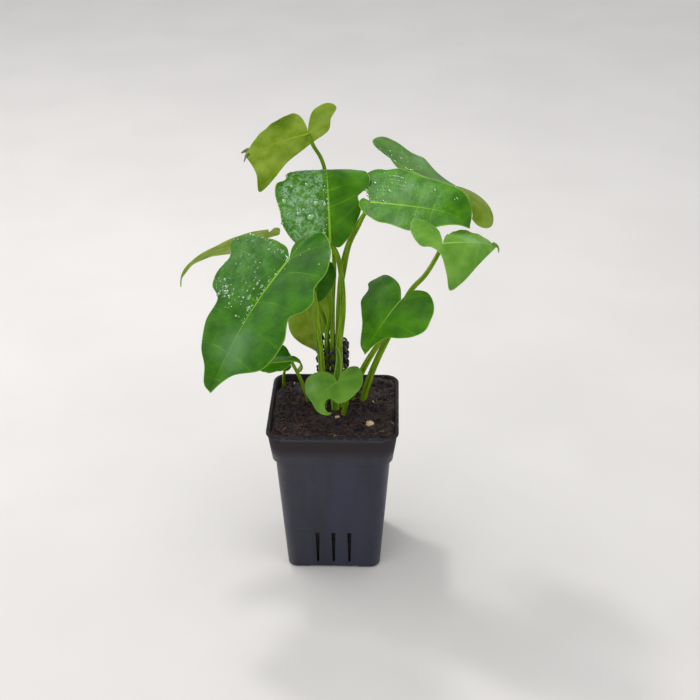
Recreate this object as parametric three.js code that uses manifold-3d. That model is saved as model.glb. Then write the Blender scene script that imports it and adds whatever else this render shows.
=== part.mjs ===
// A young lobed philodendron in a square nursery pot: thirteen leaves on long stalks, a sheath leaf,
// and a coil of black cord round the back stalks. Millimetres, +Z up, the pot stands on z = 0 and
// its foot is centred on the origin. The photograph looks along +Y.
import * as THREE from "three";
import { mergeVertices } from "three/addons/utils/BufferGeometryUtils.js";
import Module from "manifold-3d";

const wasm = await Module();
wasm.setup();

// Pot: widths are measured flat to flat.
const POT_HEIGHT = 128;
const RIM_WIDTH = 100;
const RIM_HEIGHT = 2.4;
const COLLAR_WIDTH = 98;
const COLLAR_FOOT_WIDTH = 91.6;
const COLLAR_HEIGHT = 26;
const BODY_WIDTH = 87.6;
const FOOT_WIDTH = 73;
const RIM_CORNER = 11;
const RIM_EDGE = 0.7;
const FOOT_CORNER = 8;
const FOOT_CHAMFER = 1.5;
const WALL = 1.5;
const FLOOR = 4.5;
const CORNER_STEPS = 5;
const ROD_SIDES = 16;

// Pot floor: four corner feet and a round pad carry it, with drain holes between them.
const FOOT_RISE = 1.8;
const FOOT_PAD = 17;
const CENTRE_PAD = 11;
const DRAINS = 8;
const DRAIN_RADIUS = 3.5;
const DRAIN_REACH = 21;

// Slots low in each wall.
const SLOTS = 3;
const SLOT_PITCH = 12.4;
const SLOT_TOP_WIDTH = 3.2;
const SLOT_FOOT_WIDTH = 1.6;
const SLOT_BOTTOM = 6;
const SLOT_TOP = 35;

// Touching pieces keep this gap.
const GAP = 0.3;

// Soil.
const SOIL_TOP = 122.5;
const SOIL_SHY = 5;
const SOIL_RINGS = 7;
const HOLE_DEPTH = 8;
const HOLE_SPARE = 0.9;

// Leaf blades and stalks.
const BLADE = 0.9;
const ROW_STEP = 9;
const FEWEST_ROWS = 10;
const MOST_ROWS = 22;
const BLADE_COLUMNS = 3;
const SHARE_SPARE = 1e-9;
const STALK_SIDES = 8;
const STALK_STEP = 12;
const FEWEST_STEPS = 8;

// Coil of cord round the back stalks.
const COIL_CENTRE = new THREE.Vector3(-2, 24, 0);
const COIL_RADIUS = 10.6;
const CORD_RADIUS = 2.8;
const COIL_BOTTOM = 148;
const COIL_PITCH = 8;
const COIL_TURNS = 3.1;
const COIL_STEPS = 13;
const CORD_SIDES = 6;

const MATERIALS = {
  pot: new THREE.MeshStandardMaterial({ color: 0x35373c, roughness: 0.42, metalness: 0 }),
  soil: new THREE.MeshStandardMaterial({ color: 0x2b1b12, roughness: 1, metalness: 0 }),
  blade: new THREE.MeshStandardMaterial({ color: 0x3f7d2a, roughness: 0.45, metalness: 0 }),
  stalk: new THREE.MeshStandardMaterial({ color: 0x6f9a22, roughness: 0.5, metalness: 0 }),
  cord: new THREE.MeshStandardMaterial({ color: 0x1d1c20, roughness: 0.6, metalness: 0 }),
  stone: new THREE.MeshStandardMaterial({ color: 0xcbb287, roughness: 0.9, metalness: 0 }),
};

// A leaf starts at its joint with the stalk. heading and rise point its midrib, in degrees from +X
// and above the horizon, and roll turns it about the midrib. droop and curl bend the midrib down,
// curl only past the share curlFrom of its length. back bends the lobes behind the joint, over the
// distance basal. twist turns the far end. fold tips each half up, from the joint on or eased in
// over foldIn, and cup bends each half across its width half; both are [left, right]. rootFrom is
// the share of the edge up to which the rows fan out from the joint.
// left and right are the edges from the notch to the tip, as [across, along] in mm. The stalk runs
// from the soil to just short of the joint, and its radius is given at the soil and at the blade.
const PLAIN = {
  roll: 0, droop: 20, curl: 0, curlFrom: 0.5, back: 10, basal: 30, twist: 0,
  fold: [0, 0], foldIn: 0, cup: [-10, -10], half: 35, rootFrom: 0.3,
};
const LEAVES = {
  front_left: {
    ...PLAIN, joint: [-30, -22, 261], heading: 221, rise: -36, roll: 2, length: 112,
    droop: 26, back: 12, fold: [14, 10], cup: [-16, -16],
    left: [
      [6, -10], [5, -21], [-3, -30], [-26, -22], [-40, -5], [-41, 10], [-48, 19], [-46, 28],
      [-39, 37], [-46, 53], [-42, 75], [-16, 93],
    ],
    right: [
      [10, -7], [26, -6], [53, -2], [69, 8], [55, 20], [57, 35], [52, 44], [36, 51], [35, 70],
      [27, 86], [15, 97], [8, 109],
    ],
    stalk: [
      [-9, 3, 123], [-9, 4, 146], [-10, 5, 168], [-13, 2, 200], [-14, -4, 223], [-20, -14, 246],
    ],
    radius: [3.1, 1.7],
  },
  centre: {
    ...PLAIN, joint: [-2, 5, 263], heading: 96, rise: 72, length: 84,
    droop: 60, curl: 120, curlFrom: 0.4, cup: [-8, -8],
    left: [
      [-12, -5], [-25, 0], [-34, 13], [-36, 25], [-39, 39], [-37, 49], [-31, 52], [-29, 62],
      [-21, 74], [-9, 82],
    ],
    right: [
      [6, -4], [13, 2], [20, 14], [24, 25], [22, 34], [30, 42], [32, 51], [29, 64], [21, 75],
      [9, 82],
    ],
    stalk: [[5, 2, 123], [5, 4, 148], [4, 4, 176], [7, 5, 208], [6, 7, 234], [3, 7, 252]],
    radius: [3.2, 1.8],
  },
  right: {
    ...PLAIN, joint: [28, 14, 291], heading: -25, rise: 6, roll: -22, length: 80,
    droop: 10, curl: 62, curlFrom: 0.55, fold: [5, 5], foldIn: 16, cup: [-9, -12],
    left: [
      [-10, -7], [-22, -14], [-35, -19], [-41, -13], [-39, 7], [-33, 24], [-28, 49], [-25, 61],
      [-19, 69], [-11, 75],
    ],
    right: [
      [-4, -9], [1, -10], [10, -3], [19, 13], [21, 24], [24, 39], [20, 49], [16, 57], [8, 68],
    ],
    stalk: [
      [4.8, 11, 123], [2.3, 21.5, 143], [2.3, 21.5, 175], [4, 20, 210], [8, 18, 237],
      [12, 16, 257], [18, 14, 271], [23, 14, 282],
    ],
    radius: [2.3, 1.5],
  },
  right_back: {
    ...PLAIN, joint: [57, 60, 298], heading: -24, rise: -18, roll: -12, length: 75,
    droop: -36, curl: 175, curlFrom: 0.35, back: -2, twist: 77, cup: [-12, -12],
    left: [
      [4, -8], [-4, -23], [-8, -36], [-12, -40], [-23, -36], [-25, -26], [-22, -9], [-23, 3],
      [-21, 14], [-18, 25], [-24, 36], [-19, 52], [-9, 66],
    ],
    right: [
      [8, -10], [20, -16], [27, -4], [24, 14], [24, 34], [25, 46], [24, 54], [21, 61], [16, 67],
      [8, 72],
    ],
    stalk: [
      [4.8, 17.5, 123], [2.3, 26.5, 143], [2.3, 26.5, 175], [3, 32, 203], [6, 38, 232],
      [14, 44, 255], [30, 51, 277], [46, 56, 290],
    ],
    radius: [2.3, 1.5],
  },
  right_side: {
    ...PLAIN, joint: [78.6, -40.4, 282.5], heading: 16, rise: 0, roll: -32, length: 44.3,
    droop: 30, back: 15, fold: [-28, -4], foldIn: 16, cup: [-10, -14], rootFrom: 0.45,
    left: [[-9.6, 5.8], [-19.2, 16.4], [-24, 28.9], [-22.1, 38.5], [-11.5, 43.3]],
    right: [
      [-15.4, 1], [-20.2, -5.8], [-25, -14.4], [-16.4, -19.2], [-1, -15.4], [1, -8.7],
      [7.7, -3.8], [24, -2.9], [35.6, -2.9], [30.8, 7.7], [15.4, 26],
    ],
    stalk: [
      [22, 16, 123], [28, 12, 148], [34, 9, 166], [41, 6, 184], [56.9, -5.6, 228.2],
      [67.5, -19.8, 248.8], [75, -33.9, 270],
    ],
    radius: [3, 1.5],
  },
  top: {
    ...PLAIN, joint: [-20, 58, 328], heading: 199, rise: -8, roll: -66, length: 52,
    droop: 16, cup: [-8, -8], rootFrom: 0.4,
    left: [[-13, 2.6], [-23, 8], [-26, 15], [-22, 27], [-15, 40]],
    right: [
      [-13, -1], [-24, -5], [-28, -15], [-22, -22], [-11, -18], [1, -16], [8, -6], [14, 3],
      [25, 20], [39, 38], [40, 44], [23, 44], [6, 49],
    ],
    stalk: [
      [-1, 20.5, 123], [-2, 29, 143], [-2, 29, 175], [-2, 36, 199], [-1, 46, 230],
      [-4, 58, 262], [-8, 64, 296], [-11, 61, 308], [-16, 56, 319],
    ],
    radius: [2.3, 1.4],
  },
  left_back: {
    ...PLAIN, joint: [-55, 52, 245], heading: 188, rise: -2, roll: -38, length: 81,
    droop: 34, curl: 60, back: 20, cup: [-6, -6], rootFrom: 0.42,
    left: [
      [-10, -10], [-24, -12], [-42, -10.5], [-42, -8.4], [-29, -5.6], [-19, -3.4], [-29, -3.4],
      [-36, -2.4], [-35, 2], [-29, 9], [-22, 19], [-14, 32], [-6, 46], [-6, 58], [-6, 70],
    ],
    right: [
      [9, -12], [20, -12], [27, 0], [24, 14], [24, 28], [17, 42], [11, 56], [6, 69],
    ],
    stalk: [
      [-6.8, 17.5, 123], [-6.3, 26.5, 143], [-6.3, 26.5, 174], [-10, 31, 191], [-20, 33, 210],
      [-37, 40, 230], [-49, 49, 239],
    ],
    radius: [2.3, 1.4],
  },
  heart: {
    ...PLAIN, joint: [50, -24, 230], heading: 215, rise: -38, length: 47, cup: [-12, -12],
    left: [
      [-1, -7], [-5, -13], [-15, -16], [-27, -11], [-33, -3], [-36, 7], [-32, 15], [-22, 23],
      [-13, 27], [-5, 36],
    ],
    right: [
      [9, -8], [23, -12], [39, -11], [47, 0], [41, 5], [40, 15], [28, 23], [16, 33], [9, 43],
    ],
    stalk: [
      [12, 17, 123], [17, 10, 142], [25, 1, 165], [36, -8, 190], [44, -17, 213], [48, -22, 224],
    ],
    radius: [3.2, 1.5],
  },
  hanging: {
    ...PLAIN, joint: [-28, 46, 210], heading: 58, rise: -72, roll: 40, length: 69,
    droop: 10, back: 30,
    left: [[-6, -12], [-16, -14], [-17, -2], [-14, 14], [-16, 30], [-17, 44], [-12, 56]],
    right: [[6, -12], [18, -10], [24, 6], [22, 22], [18, 36], [10, 50]],
    stalk: [
      [-6.8, 11, 123], [-6.3, 21.5, 143], [-6.3, 21.5, 175], [-4, 30, 195], [-9, 37, 211],
      [-20, 43, 216],
    ],
    radius: [2.3, 1.3],
  },
  shaded: {
    ...PLAIN, joint: [-13, 16, 236], heading: 271, rise: -62, length: 26,
    back: 20, basal: 12, half: 16,
    left: [[-5, -6], [-12, -5], [-15, 4], [-12, 14], [-6, 22]],
    right: [[5, -6], [12, -5], [15, 3], [13, 12], [7, 20]],
    stalk: [
      [-1, 8, 123], [-2, 19, 143], [-2, 19, 175], [-1, 21, 205], [-3, 21, 226],
      [-8, 20, 236],
    ],
    radius: [2, 1.1],
  },
  low_left: {
    ...PLAIN, joint: [-32, 2, 165], heading: 191, rise: 0, roll: -4, length: 30,
    droop: 4, back: 180, basal: 27, fold: [-30, 0], foldIn: 16, half: 14, rootFrom: 0.35,
    left: [[-4, 2], [-7, 6], [-8, 13], [-8, 20], [-5, 26]],
    right: [
      [4, -9], [7.5, -16], [11, -22.5], [13, -22], [14, -12], [14, 0], [13, 10], [9, 20],
    ],
    stalk: [[-21, 15, 123], [-23, 8, 136], [-25, 4, 146], [-29, 2, 157]],
    radius: [1.9, 1.2],
  },
  low_back: {
    ...PLAIN, joint: [-36, 16, 157], heading: 162, rise: 14, roll: 30, length: 27,
    basal: 12, half: 14,
    left: [[-3, -4], [-7, -3], [-9, 3], [-8, 13], [-4, 22]],
    right: [[4, -1], [8, 3], [12, 8], [13, 14], [12, 20], [7, 25]],
    stalk: [[-42, 38, 123], [-41, 30, 138], [-38, 20, 151]],
    radius: [1.3, 1],
  },
  low_front: {
    ...PLAIN, joint: [4, -28, 164], heading: 234, rise: -22, length: 27,
    droop: 40, basal: 20, cup: [-12, -12], rows: 24,
    rib: [
      [0.45, 0, 0], [0.62, 2.6, 4.6], [0.708, 3.6, 8.1], [0.75, 4.2, 10.3], [0.79, 4.4, 12.9],
      [0.833, 3.6, 16], [0.875, 2.2, 20], [0.917, -0.4, 23], [0.958, -4, 24.8],
      [1, -8.6, 23.8],
    ],
    left: [
      [2.8, -9], [2, -16], [-3, -20.5], [-9, -18], [-15, -12], [-18.6, -4], [-18.6, 3.5],
      [-15.8, 11], [-10.3, 15.6], [-4.5, 14.8], [-1.2, 15.1], [0.4, 17], [0.4, 20], [-4, 24.2],
    ],
    right: [
      [8.5, -4.8], [16.5, -5.3], [23, -2.4], [26.2, 4], [25, 10.5], [19.5, 17.5], [11.5, 22],
      [7.7, 24.6], [3.6, 26.8], [-1, 27.4], [-6, 26.4],
    ],
    stalk: [[7, -7, 123], [10, -15, 138], [10, -22, 149], [7, -26, 157]],
    radius: [2, 1.3],
  },
};

// The sheath leaf that stands in front of the stalks.
const SHEATH = { stalk: [[1, -4, 123], [1, -3.5, 145], [3, -3, 166]], radius: [2.3, 0.7] };

// Pellets and grit on the soil: place and radius.
const PELLET_FLATNESS = 0.8;
const PELLETS = {
  pellet: { at: [28, -21], radius: 3.4, lift: 1 },
  grit_left: { at: [-34, 41], radius: 1.5, lift: 0.8 },
  grit_right: { at: [40, 37], radius: 1.4, lift: 0.8 },
  grit_front: { at: [2, -38], radius: 1.3, lift: 2.4 },
};

const radians = THREE.MathUtils.degToRad;

// A closed solid from a list of triangle corners; triangles without area are left out.
function solidOf(corners) {
  const soup = new THREE.BufferGeometry().setFromPoints(corners);
  const merged = mergeVertices(soup, 1e-4);
  const index = merged.index.array;
  const kept = [];
  for (let i = 0; i < index.length; i += 3) {
    const [a, b, c] = [index[i], index[i + 1], index[i + 2]];
    if (a !== b && b !== c && c !== a) kept.push(a, b, c);
  }
  return new wasm.Manifold(new wasm.Mesh({
    numProp: 3,
    vertProperties: merged.attributes.position.array,
    triVerts: new Uint32Array(kept),
  }));
}

function meshOf(name, solid, material) {
  const { vertProperties, triVerts } = solid.getMesh();
  const geometry = new THREE.BufferGeometry();
  geometry.setAttribute("position", new THREE.BufferAttribute(vertProperties, 3));
  geometry.setIndex(new THREE.BufferAttribute(triVerts, 1));
  geometry.computeVertexNormals();
  const mesh = new THREE.Mesh(geometry, material);
  mesh.name = name;
  return mesh;
}

// Corners of the wall between two rings that run the same way round.
function band(lower, upper) {
  const corners = [];
  lower.forEach((a, i) => {
    const b = lower[(i + 1) % lower.length];
    const c = upper[(i + 1) % upper.length];
    const d = upper[i];
    corners.push(a, b, c, a, c, d);
  });
  return corners;
}

function middleOf(ring) {
  return ring.reduce((sum, p) => sum.add(p), new THREE.Vector3()).divideScalar(ring.length);
}

// A closed solid through a stack of rings, each closed round its middle at the two ends.
function stack(rings) {
  const corners = [];
  for (let i = 0; i + 1 < rings.length; i += 1) corners.push(...band(rings[i], rings[i + 1]));
  const first = rings[0];
  const last = rings[rings.length - 1];
  const bottom = middleOf(first);
  const top = middleOf(last);
  first.forEach((p, i) => corners.push(bottom, first[(i + 1) % first.length], p));
  last.forEach((p, i) => corners.push(top, p, last[(i + 1) % last.length]));
  return solidOf(corners);
}

// A level ring: a square with round corners.
function squareRing(width, corner, z) {
  const reach = width / 2 - corner;
  const path = new THREE.Path();
  path.absarc(reach, reach, corner, 0, Math.PI / 2);
  path.absarc(-reach, reach, corner, Math.PI / 2, Math.PI);
  path.absarc(-reach, -reach, corner, Math.PI, 1.5 * Math.PI);
  path.absarc(reach, -reach, corner, 1.5 * Math.PI, 2 * Math.PI);
  const points = path.curves
    .filter((curve) => curve.isEllipseCurve)
    .flatMap((curve) => curve.getPoints(CORNER_STEPS));
  return points.map((p) => new THREE.Vector3(p.x, p.y, z));
}

// A level ring right through the pot from front to back.
function rectangleRing(x, width, z) {
  const corners = [[-1, -1], [1, -1], [1, 1], [-1, 1]];
  return corners.map(([a, b]) => new THREE.Vector3(x + (a * width) / 2, b * RIM_WIDTH, z));
}

function cornerAt(z) {
  return THREE.MathUtils.lerp(FOOT_CORNER, RIM_CORNER, z / POT_HEIGHT);
}

function block(width, depth, height) {
  return solidOf(cornersOf(new THREE.BoxGeometry(width, depth, height)));
}

function rod(x, y, bottom, top, radius) {
  const geometry = new THREE.CylinderGeometry(radius, radius, top - bottom, ROD_SIDES)
    .rotateX(Math.PI / 2)
    .translate(x, y, (top + bottom) / 2);
  return solidOf(cornersOf(geometry));
}

// Triangle corners of a ready-made shape.
function cornersOf(geometry) {
  const position = geometry.toNonIndexed().attributes.position;
  return Array.from({ length: position.count }, (_, i) => (
    new THREE.Vector3().fromBufferAttribute(position, i)
  ));
}

// The pot's outer width below the collar, and inside it.
const COLLAR_FOOT = POT_HEIGHT - COLLAR_HEIGHT;

function bodyWidthAt(z) {
  return THREE.MathUtils.lerp(FOOT_WIDTH, BODY_WIDTH, z / COLLAR_FOOT);
}

function collarWidthAt(z) {
  return THREE.MathUtils.lerp(COLLAR_FOOT_WIDTH, COLLAR_WIDTH, (z - COLLAR_FOOT) / COLLAR_HEIGHT);
}

// Rings of the pot's inside, clearance in from its wall, from bottom to top.
function insideRings(clearance, bottom, top) {
  const off = 2 * (WALL + clearance);
  const ledge = COLLAR_FOOT + WALL + clearance;
  return [
    squareRing(bodyWidthAt(bottom) - off, cornerAt(bottom) - WALL, bottom),
    squareRing(bodyWidthAt(ledge) - off, cornerAt(ledge) - WALL, ledge),
    squareRing(collarWidthAt(ledge) - off, cornerAt(ledge) - WALL, ledge + 0.4),
    squareRing(collarWidthAt(top) - off, cornerAt(top) - WALL, top),
  ];
}

function makePot() {
  const lip = POT_HEIGHT - RIM_HEIGHT;
  let pot = stack([
    squareRing(FOOT_WIDTH - 2 * FOOT_CHAMFER, FOOT_CORNER - FOOT_CHAMFER, 0),
    squareRing(FOOT_WIDTH, FOOT_CORNER, FOOT_CHAMFER),
    squareRing(bodyWidthAt(COLLAR_FOOT), cornerAt(COLLAR_FOOT), COLLAR_FOOT),
    squareRing(COLLAR_FOOT_WIDTH, cornerAt(COLLAR_FOOT), COLLAR_FOOT + RIM_EDGE),
    squareRing(COLLAR_WIDTH, RIM_CORNER, lip),
    squareRing(RIM_WIDTH, RIM_CORNER, lip + RIM_EDGE),
    squareRing(RIM_WIDTH, RIM_CORNER, POT_HEIGHT - RIM_EDGE),
    squareRing(RIM_WIDTH - 2 * RIM_EDGE, RIM_CORNER - RIM_EDGE, POT_HEIGHT),
  ]);
  pot = pot.subtract(stack(insideRings(0, FLOOR, POT_HEIGHT + 1)));

  // The slots narrow downwards: each is a thin wedge through both walls.
  for (let i = 0; i < SLOTS; i += 1) {
    const x = (i - (SLOTS - 1) / 2) * SLOT_PITCH;
    const slot = stack([
      rectangleRing(x, SLOT_FOOT_WIDTH, SLOT_BOTTOM),
      rectangleRing(x, SLOT_TOP_WIDTH, SLOT_TOP),
    ]);
    pot = pot.subtract(slot).subtract(slot.rotate([0, 0, 90]));
  }

  // Under the floor a cross-shaped recess leaves the corner feet and the middle pad standing.
  const span = FOOT_WIDTH - 2 * FOOT_PAD;
  const recess = block(span, RIM_WIDTH, 2 * FOOT_RISE)
    .add(block(RIM_WIDTH, span, 2 * FOOT_RISE))
    .subtract(rod(0, 0, -POT_HEIGHT, POT_HEIGHT, CENTRE_PAD));
  pot = pot.subtract(recess);
  for (let i = 0; i < DRAINS; i += 1) {
    const turn = (2 * Math.PI * i) / DRAINS;
    const [x, y] = [DRAIN_REACH * Math.cos(turn), DRAIN_REACH * Math.sin(turn)];
    pot = pot.subtract(rod(x, y, -1, FLOOR + 1, DRAIN_RADIUS));
  }
  return pot;
}

// Height of the soil's surface: broad humps with small clods on them, lower along the wall.
function soilHeight(x, y) {
  const humps = 1.1 * Math.sin(x / 9 + 1) * Math.cos(y / 11) + 0.7 * Math.sin((x + y) / 5.5);
  const clods = 0.55 * Math.sin(x * 1.1 + 2 * Math.sin(y / 3)) * Math.sin(y * 0.9 + 1);
  const edge = Math.max(Math.abs(x), Math.abs(y)) / (RIM_WIDTH / 2);
  return SOIL_TOP + humps + clods - 2.2 * edge ** 6;
}

function makeSoil() {
  const rings = insideRings(GAP, FLOOR + GAP, SOIL_TOP - SOIL_SHY);
  const edge = rings[rings.length - 1];
  for (let i = 0; i < SOIL_RINGS; i += 1) {
    const share = 1 - i / SOIL_RINGS;
    const ring = edge.map((p) => new THREE.Vector3(p.x * share, p.y * share, 0));
    rings.push(ring.map((p) => p.setZ(soilHeight(p.x, p.y))));
  }
  return stack(rings);
}

// A round rod along a smooth curve; radius gives its two ends' radii.
function tube(curve, steps, sides, radius) {
  const frames = curve.computeFrenetFrames(steps);
  return stack(Array.from({ length: steps + 1 }, (_, i) => {
    const middle = curve.getPointAt(i / steps);
    const thick = THREE.MathUtils.lerp(radius[0], radius[1], (i / steps) ** 0.8);
    return Array.from({ length: sides }, (_, k) => {
      const turn = (2 * Math.PI * k) / sides;
      return middle.clone()
        .addScaledVector(frames.normals[i], thick * Math.cos(turn))
        .addScaledVector(frames.binormals[i], thick * Math.sin(turn));
    });
  }));
}

function makeStalk(points, radius) {
  const curve = new THREE.CatmullRomCurve3(points);
  const steps = Math.max(FEWEST_STEPS, Math.round(curve.getLength() / STALK_STEP));
  return tube(curve, steps, STALK_SIDES, radius);
}

const vector = (p) => new THREE.Vector3(...p);

// The curve starts below the soil's surface, straight down from the first point.
function rootedPoints(points) {
  const [x, y] = points[0];
  return [new THREE.Vector3(x, y, SOIL_TOP - HOLE_DEPTH), ...points.map(vector)];
}

// The plain hole that a stalk stands in.
function holeOf({ stalk, radius }) {
  const [x, y] = stalk[0];
  return rod(x, y, SOIL_TOP - HOLE_DEPTH - GAP, POT_HEIGHT, radius[0] + HOLE_SPARE);
}

// Directions at a leaf's joint: along the midrib, across to its right, and up from its upper face.
function leafAxes(leaf) {
  const [heading, rise, roll] = [leaf.heading, leaf.rise, leaf.roll].map(radians);
  const flat = Math.cos(rise);
  const along = new THREE.Vector3(flat * Math.cos(heading), flat * Math.sin(heading), Math.sin(rise));
  const level = new THREE.Vector3(0, 0, 1).addScaledVector(along, -along.z).normalize();
  const side = along.clone().cross(level);
  const across = side.clone().multiplyScalar(Math.cos(roll)).addScaledVector(level, Math.sin(roll));
  const up = level.clone().multiplyScalar(Math.cos(roll)).addScaledVector(side, -Math.sin(roll));
  return { along, across, up };
}

// How far the midrib has turned down at a distance along it.
function bendAt(leaf, w) {
  if (w < 0) return (radians(leaf.back) * w) / leaf.basal;
  const share = w / leaf.length;
  const late = Math.max(0, (share - leaf.curlFrom) / (1 - leaf.curlFrom));
  return radians(leaf.droop) * share + radians(leaf.curl) * late ** 2;
}

// The point of the leaf's surface at u across and w along, with the direction up from it.
function leafPoint(leaf, u, w) {
  const { along, across, up } = leafAxes(leaf);
  const steps = 16;
  const point = vector(leaf.joint);
  for (let k = 0; k < steps; k += 1) {
    const bend = bendAt(leaf, (w * (k + 0.5)) / steps);
    point.addScaledVector(along, (Math.cos(bend) * w) / steps);
    point.addScaledVector(up, (-Math.sin(bend) * w) / steps);
  }
  const bend = bendAt(leaf, w);
  const flatUp = up.clone().multiplyScalar(Math.cos(bend)).addScaledVector(along, Math.sin(bend));
  const turn = (radians(leaf.twist) * Math.max(w, 0)) / leaf.length;
  const out = across.clone().multiplyScalar(Math.cos(turn)).addScaledVector(flatUp, Math.sin(turn));
  const rise = flatUp.clone().multiplyScalar(Math.cos(turn)).addScaledVector(across, -Math.sin(turn));
  const half = u > 0 ? 1 : 0;
  const fadeIn = leaf.foldIn ? THREE.MathUtils.clamp((w + 6) / leaf.foldIn, 0, 1) : 1;
  const fold = radians(leaf.fold[half]) * fadeIn;
  const bow = (radians(leaf.cup[half]) || 1e-6) / leaf.half;
  const reach = Math.abs(u);
  const sideways = (Math.sin(fold + bow * reach) - Math.sin(fold)) / bow;
  const lift = (Math.cos(fold) - Math.cos(fold + bow * reach)) / bow;
  point.addScaledVector(out, Math.sign(u) * sideways).addScaledVector(rise, lift);
  return point;
}

// The upper face's direction at a point, from its neighbours on the surface.
function leafNormal(leaf, u, w) {
  const step = 0.5;
  const acrossWay = leafPoint(leaf, u + step, w).sub(leafPoint(leaf, u - step, w));
  const alongWay = leafPoint(leaf, u, w + step).sub(leafPoint(leaf, u, w - step));
  return acrossWay.cross(alongWay).normalize();
}

// A leaf's edge on one side, from the joint round the lobe to the tip.
function edgeCurve(leaf, edge) {
  const tip = leaf.rib ? leaf.rib.at(-1).slice(1) : [0, leaf.length];
  const points = [[0, 0], ...edge, tip];
  return new THREE.CatmullRomCurve3(points.map(([u, w]) => new THREE.Vector3(u, w, 0)));
}

// Where the row at a share of the edge starts on the midrib. A hooked midrib is given as
// [share, u, w], and any other runs straight from the joint to the tip.
function ribPoint(leaf, share) {
  const rib = leaf.rib ?? [[leaf.rootFrom, 0, 0], [1, 0, leaf.length]];
  const next = Math.max(1, rib.findIndex(([at]) => at >= share - SHARE_SPARE));
  const [from, to] = [rib[next - 1], rib[next]];
  const part = Math.max(0, (share - from[0]) / (to[0] - from[0]));
  return [1, 2].map((axis) => THREE.MathUtils.lerp(from[axis], to[axis], part));
}

// One half of a leaf as rows of [u, w], from the midrib out to the edge. The first row is the
// notch's edge, straight out from the joint.
function halfRows(leaf, outline, count) {
  return Array.from({ length: count }, (_, i) => {
    const share = (i + 1) / count;
    const rim = outline.getPointAt(share);
    const root = ribPoint(leaf, share);
    return Array.from({ length: BLADE_COLUMNS + 1 }, (_, k) => {
      const out = k / BLADE_COLUMNS;
      return [
        THREE.MathUtils.lerp(root[0], rim.x, out),
        THREE.MathUtils.lerp(root[1], rim.y, out),
      ];
    });
  });
}

// A leaf blade: two like faces, half its thickness above and below the surface, and its edge.
function makeBlade(leaf) {
  const edges = [edgeCurve(leaf, leaf.left), edgeCurve(leaf, leaf.right)];
  const longest = Math.max(...edges.map((edge) => edge.getLength()));
  const usual = THREE.MathUtils.clamp(longest / ROW_STEP, FEWEST_ROWS, MOST_ROWS);
  const count = leaf.rows ?? Math.round(usual);
  const [left, right] = edges.map((edge) => halfRows(leaf, edge, count));
  const rows = left.map((row, i) => [...row.slice(1).reverse(), ...right[i]]);
  const faces = [1, -1].map((side) => rows.map((row) => row.map(([u, w]) => (
    leafPoint(leaf, u, w).addScaledVector(leafNormal(leaf, u, w), (side * BLADE) / 2)
  ))));
  const [upper, lower] = faces;
  const corners = [];
  for (let k = 0; k < 2 * BLADE_COLUMNS; k += 1) {
    const [a, b, c, d] = [lower[0][k], lower[0][k + 1], upper[0][k + 1], upper[0][k]];
    corners.push(a, b, c, a, c, d);
  }
  for (let i = 0; i + 1 < rows.length; i += 1) {
    for (let k = 0; k < 2 * BLADE_COLUMNS; k += 1) {
      const near = [[i, k], [i, k + 1], [i + 1, k + 1], [i + 1, k]];
      const [a, b, c, d] = near.map(([r, s]) => upper[r][s]);
      const [e, f, g, h] = near.map(([r, s]) => lower[r][s]);
      corners.push(a, b, c, a, c, d, e, g, f, e, h, g);
    }
    for (const [k, turned] of [[0, false], [2 * BLADE_COLUMNS, true]]) {
      const [a, b, c, d] = [upper[i][k], upper[i + 1][k], lower[i + 1][k], lower[i][k]];
      corners.push(...(turned ? [a, c, b, a, d, c] : [a, b, c, a, c, d]));
    }
  }
  return solidOf(corners);
}

// The stalk stops a gap below the blade's lower face.
function stalkPoints(leaf) {
  const points = rootedPoints(leaf.stalk);
  const joint = vector(leaf.joint);
  const up = leafNormal(leaf, 0, 0.6);
  const way = joint.clone().sub(points[points.length - 1]).normalize();
  const lean = Math.sqrt(Math.max(0, 1 - way.dot(up) ** 2));
  const drop = BLADE / 2 + GAP + leaf.radius[1] * lean + 0.1;
  points.push(joint.addScaledVector(up, -drop));
  return points;
}

function makeCoil() {
  const steps = Math.round(COIL_TURNS * COIL_STEPS);
  const points = Array.from({ length: steps + 1 }, (_, i) => {
    const turns = (i / steps) * COIL_TURNS;
    const turn = Math.PI + 2 * Math.PI * turns;
    return new THREE.Vector3(
      COIL_CENTRE.x + COIL_RADIUS * Math.cos(turn),
      COIL_CENTRE.y + COIL_RADIUS * Math.sin(turn),
      COIL_BOTTOM + COIL_PITCH * turns,
    );
  });
  return tube(new THREE.CatmullRomCurve3(points), steps, CORD_SIDES, [CORD_RADIUS, CORD_RADIUS]);
}

// A pellet sits half sunk; its socket in the soil is a gap larger.
function ball({ at, radius, lift }, spare) {
  const geometry = new THREE.SphereGeometry(radius + spare, 10, 6)
    .rotateX(Math.PI / 2)
    .scale(1, 1, PELLET_FLATNESS)
    .translate(at[0], at[1], soilHeight(...at) + lift);
  return solidOf(cornersOf(geometry));
}

const plant = new THREE.Group();

let soil = makeSoil();
for (const leaf of Object.values(LEAVES)) soil = soil.subtract(holeOf(leaf));
soil = soil.subtract(holeOf(SHEATH));
for (const pellet of Object.values(PELLETS)) soil = soil.subtract(ball(pellet, GAP));

plant.add(meshOf("pot", makePot(), MATERIALS.pot));
plant.add(meshOf("soil", soil, MATERIALS.soil));
for (const [name, leaf] of Object.entries(LEAVES)) {
  plant.add(meshOf("blade_" + name, makeBlade(leaf), MATERIALS.blade));
  plant.add(meshOf("stalk_" + name, makeStalk(stalkPoints(leaf), leaf.radius), MATERIALS.stalk));
}
const sheath = makeStalk(rootedPoints(SHEATH.stalk), SHEATH.radius);
plant.add(meshOf("sheath_leaf", sheath, MATERIALS.stalk));
plant.add(meshOf("cord_coil", makeCoil(), MATERIALS.cord));
for (const [name, pellet] of Object.entries(PELLETS)) {
  plant.add(meshOf(name, ball(pellet, 0), MATERIALS.stone));
}

export default plant;
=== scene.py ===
import math
import random

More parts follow.
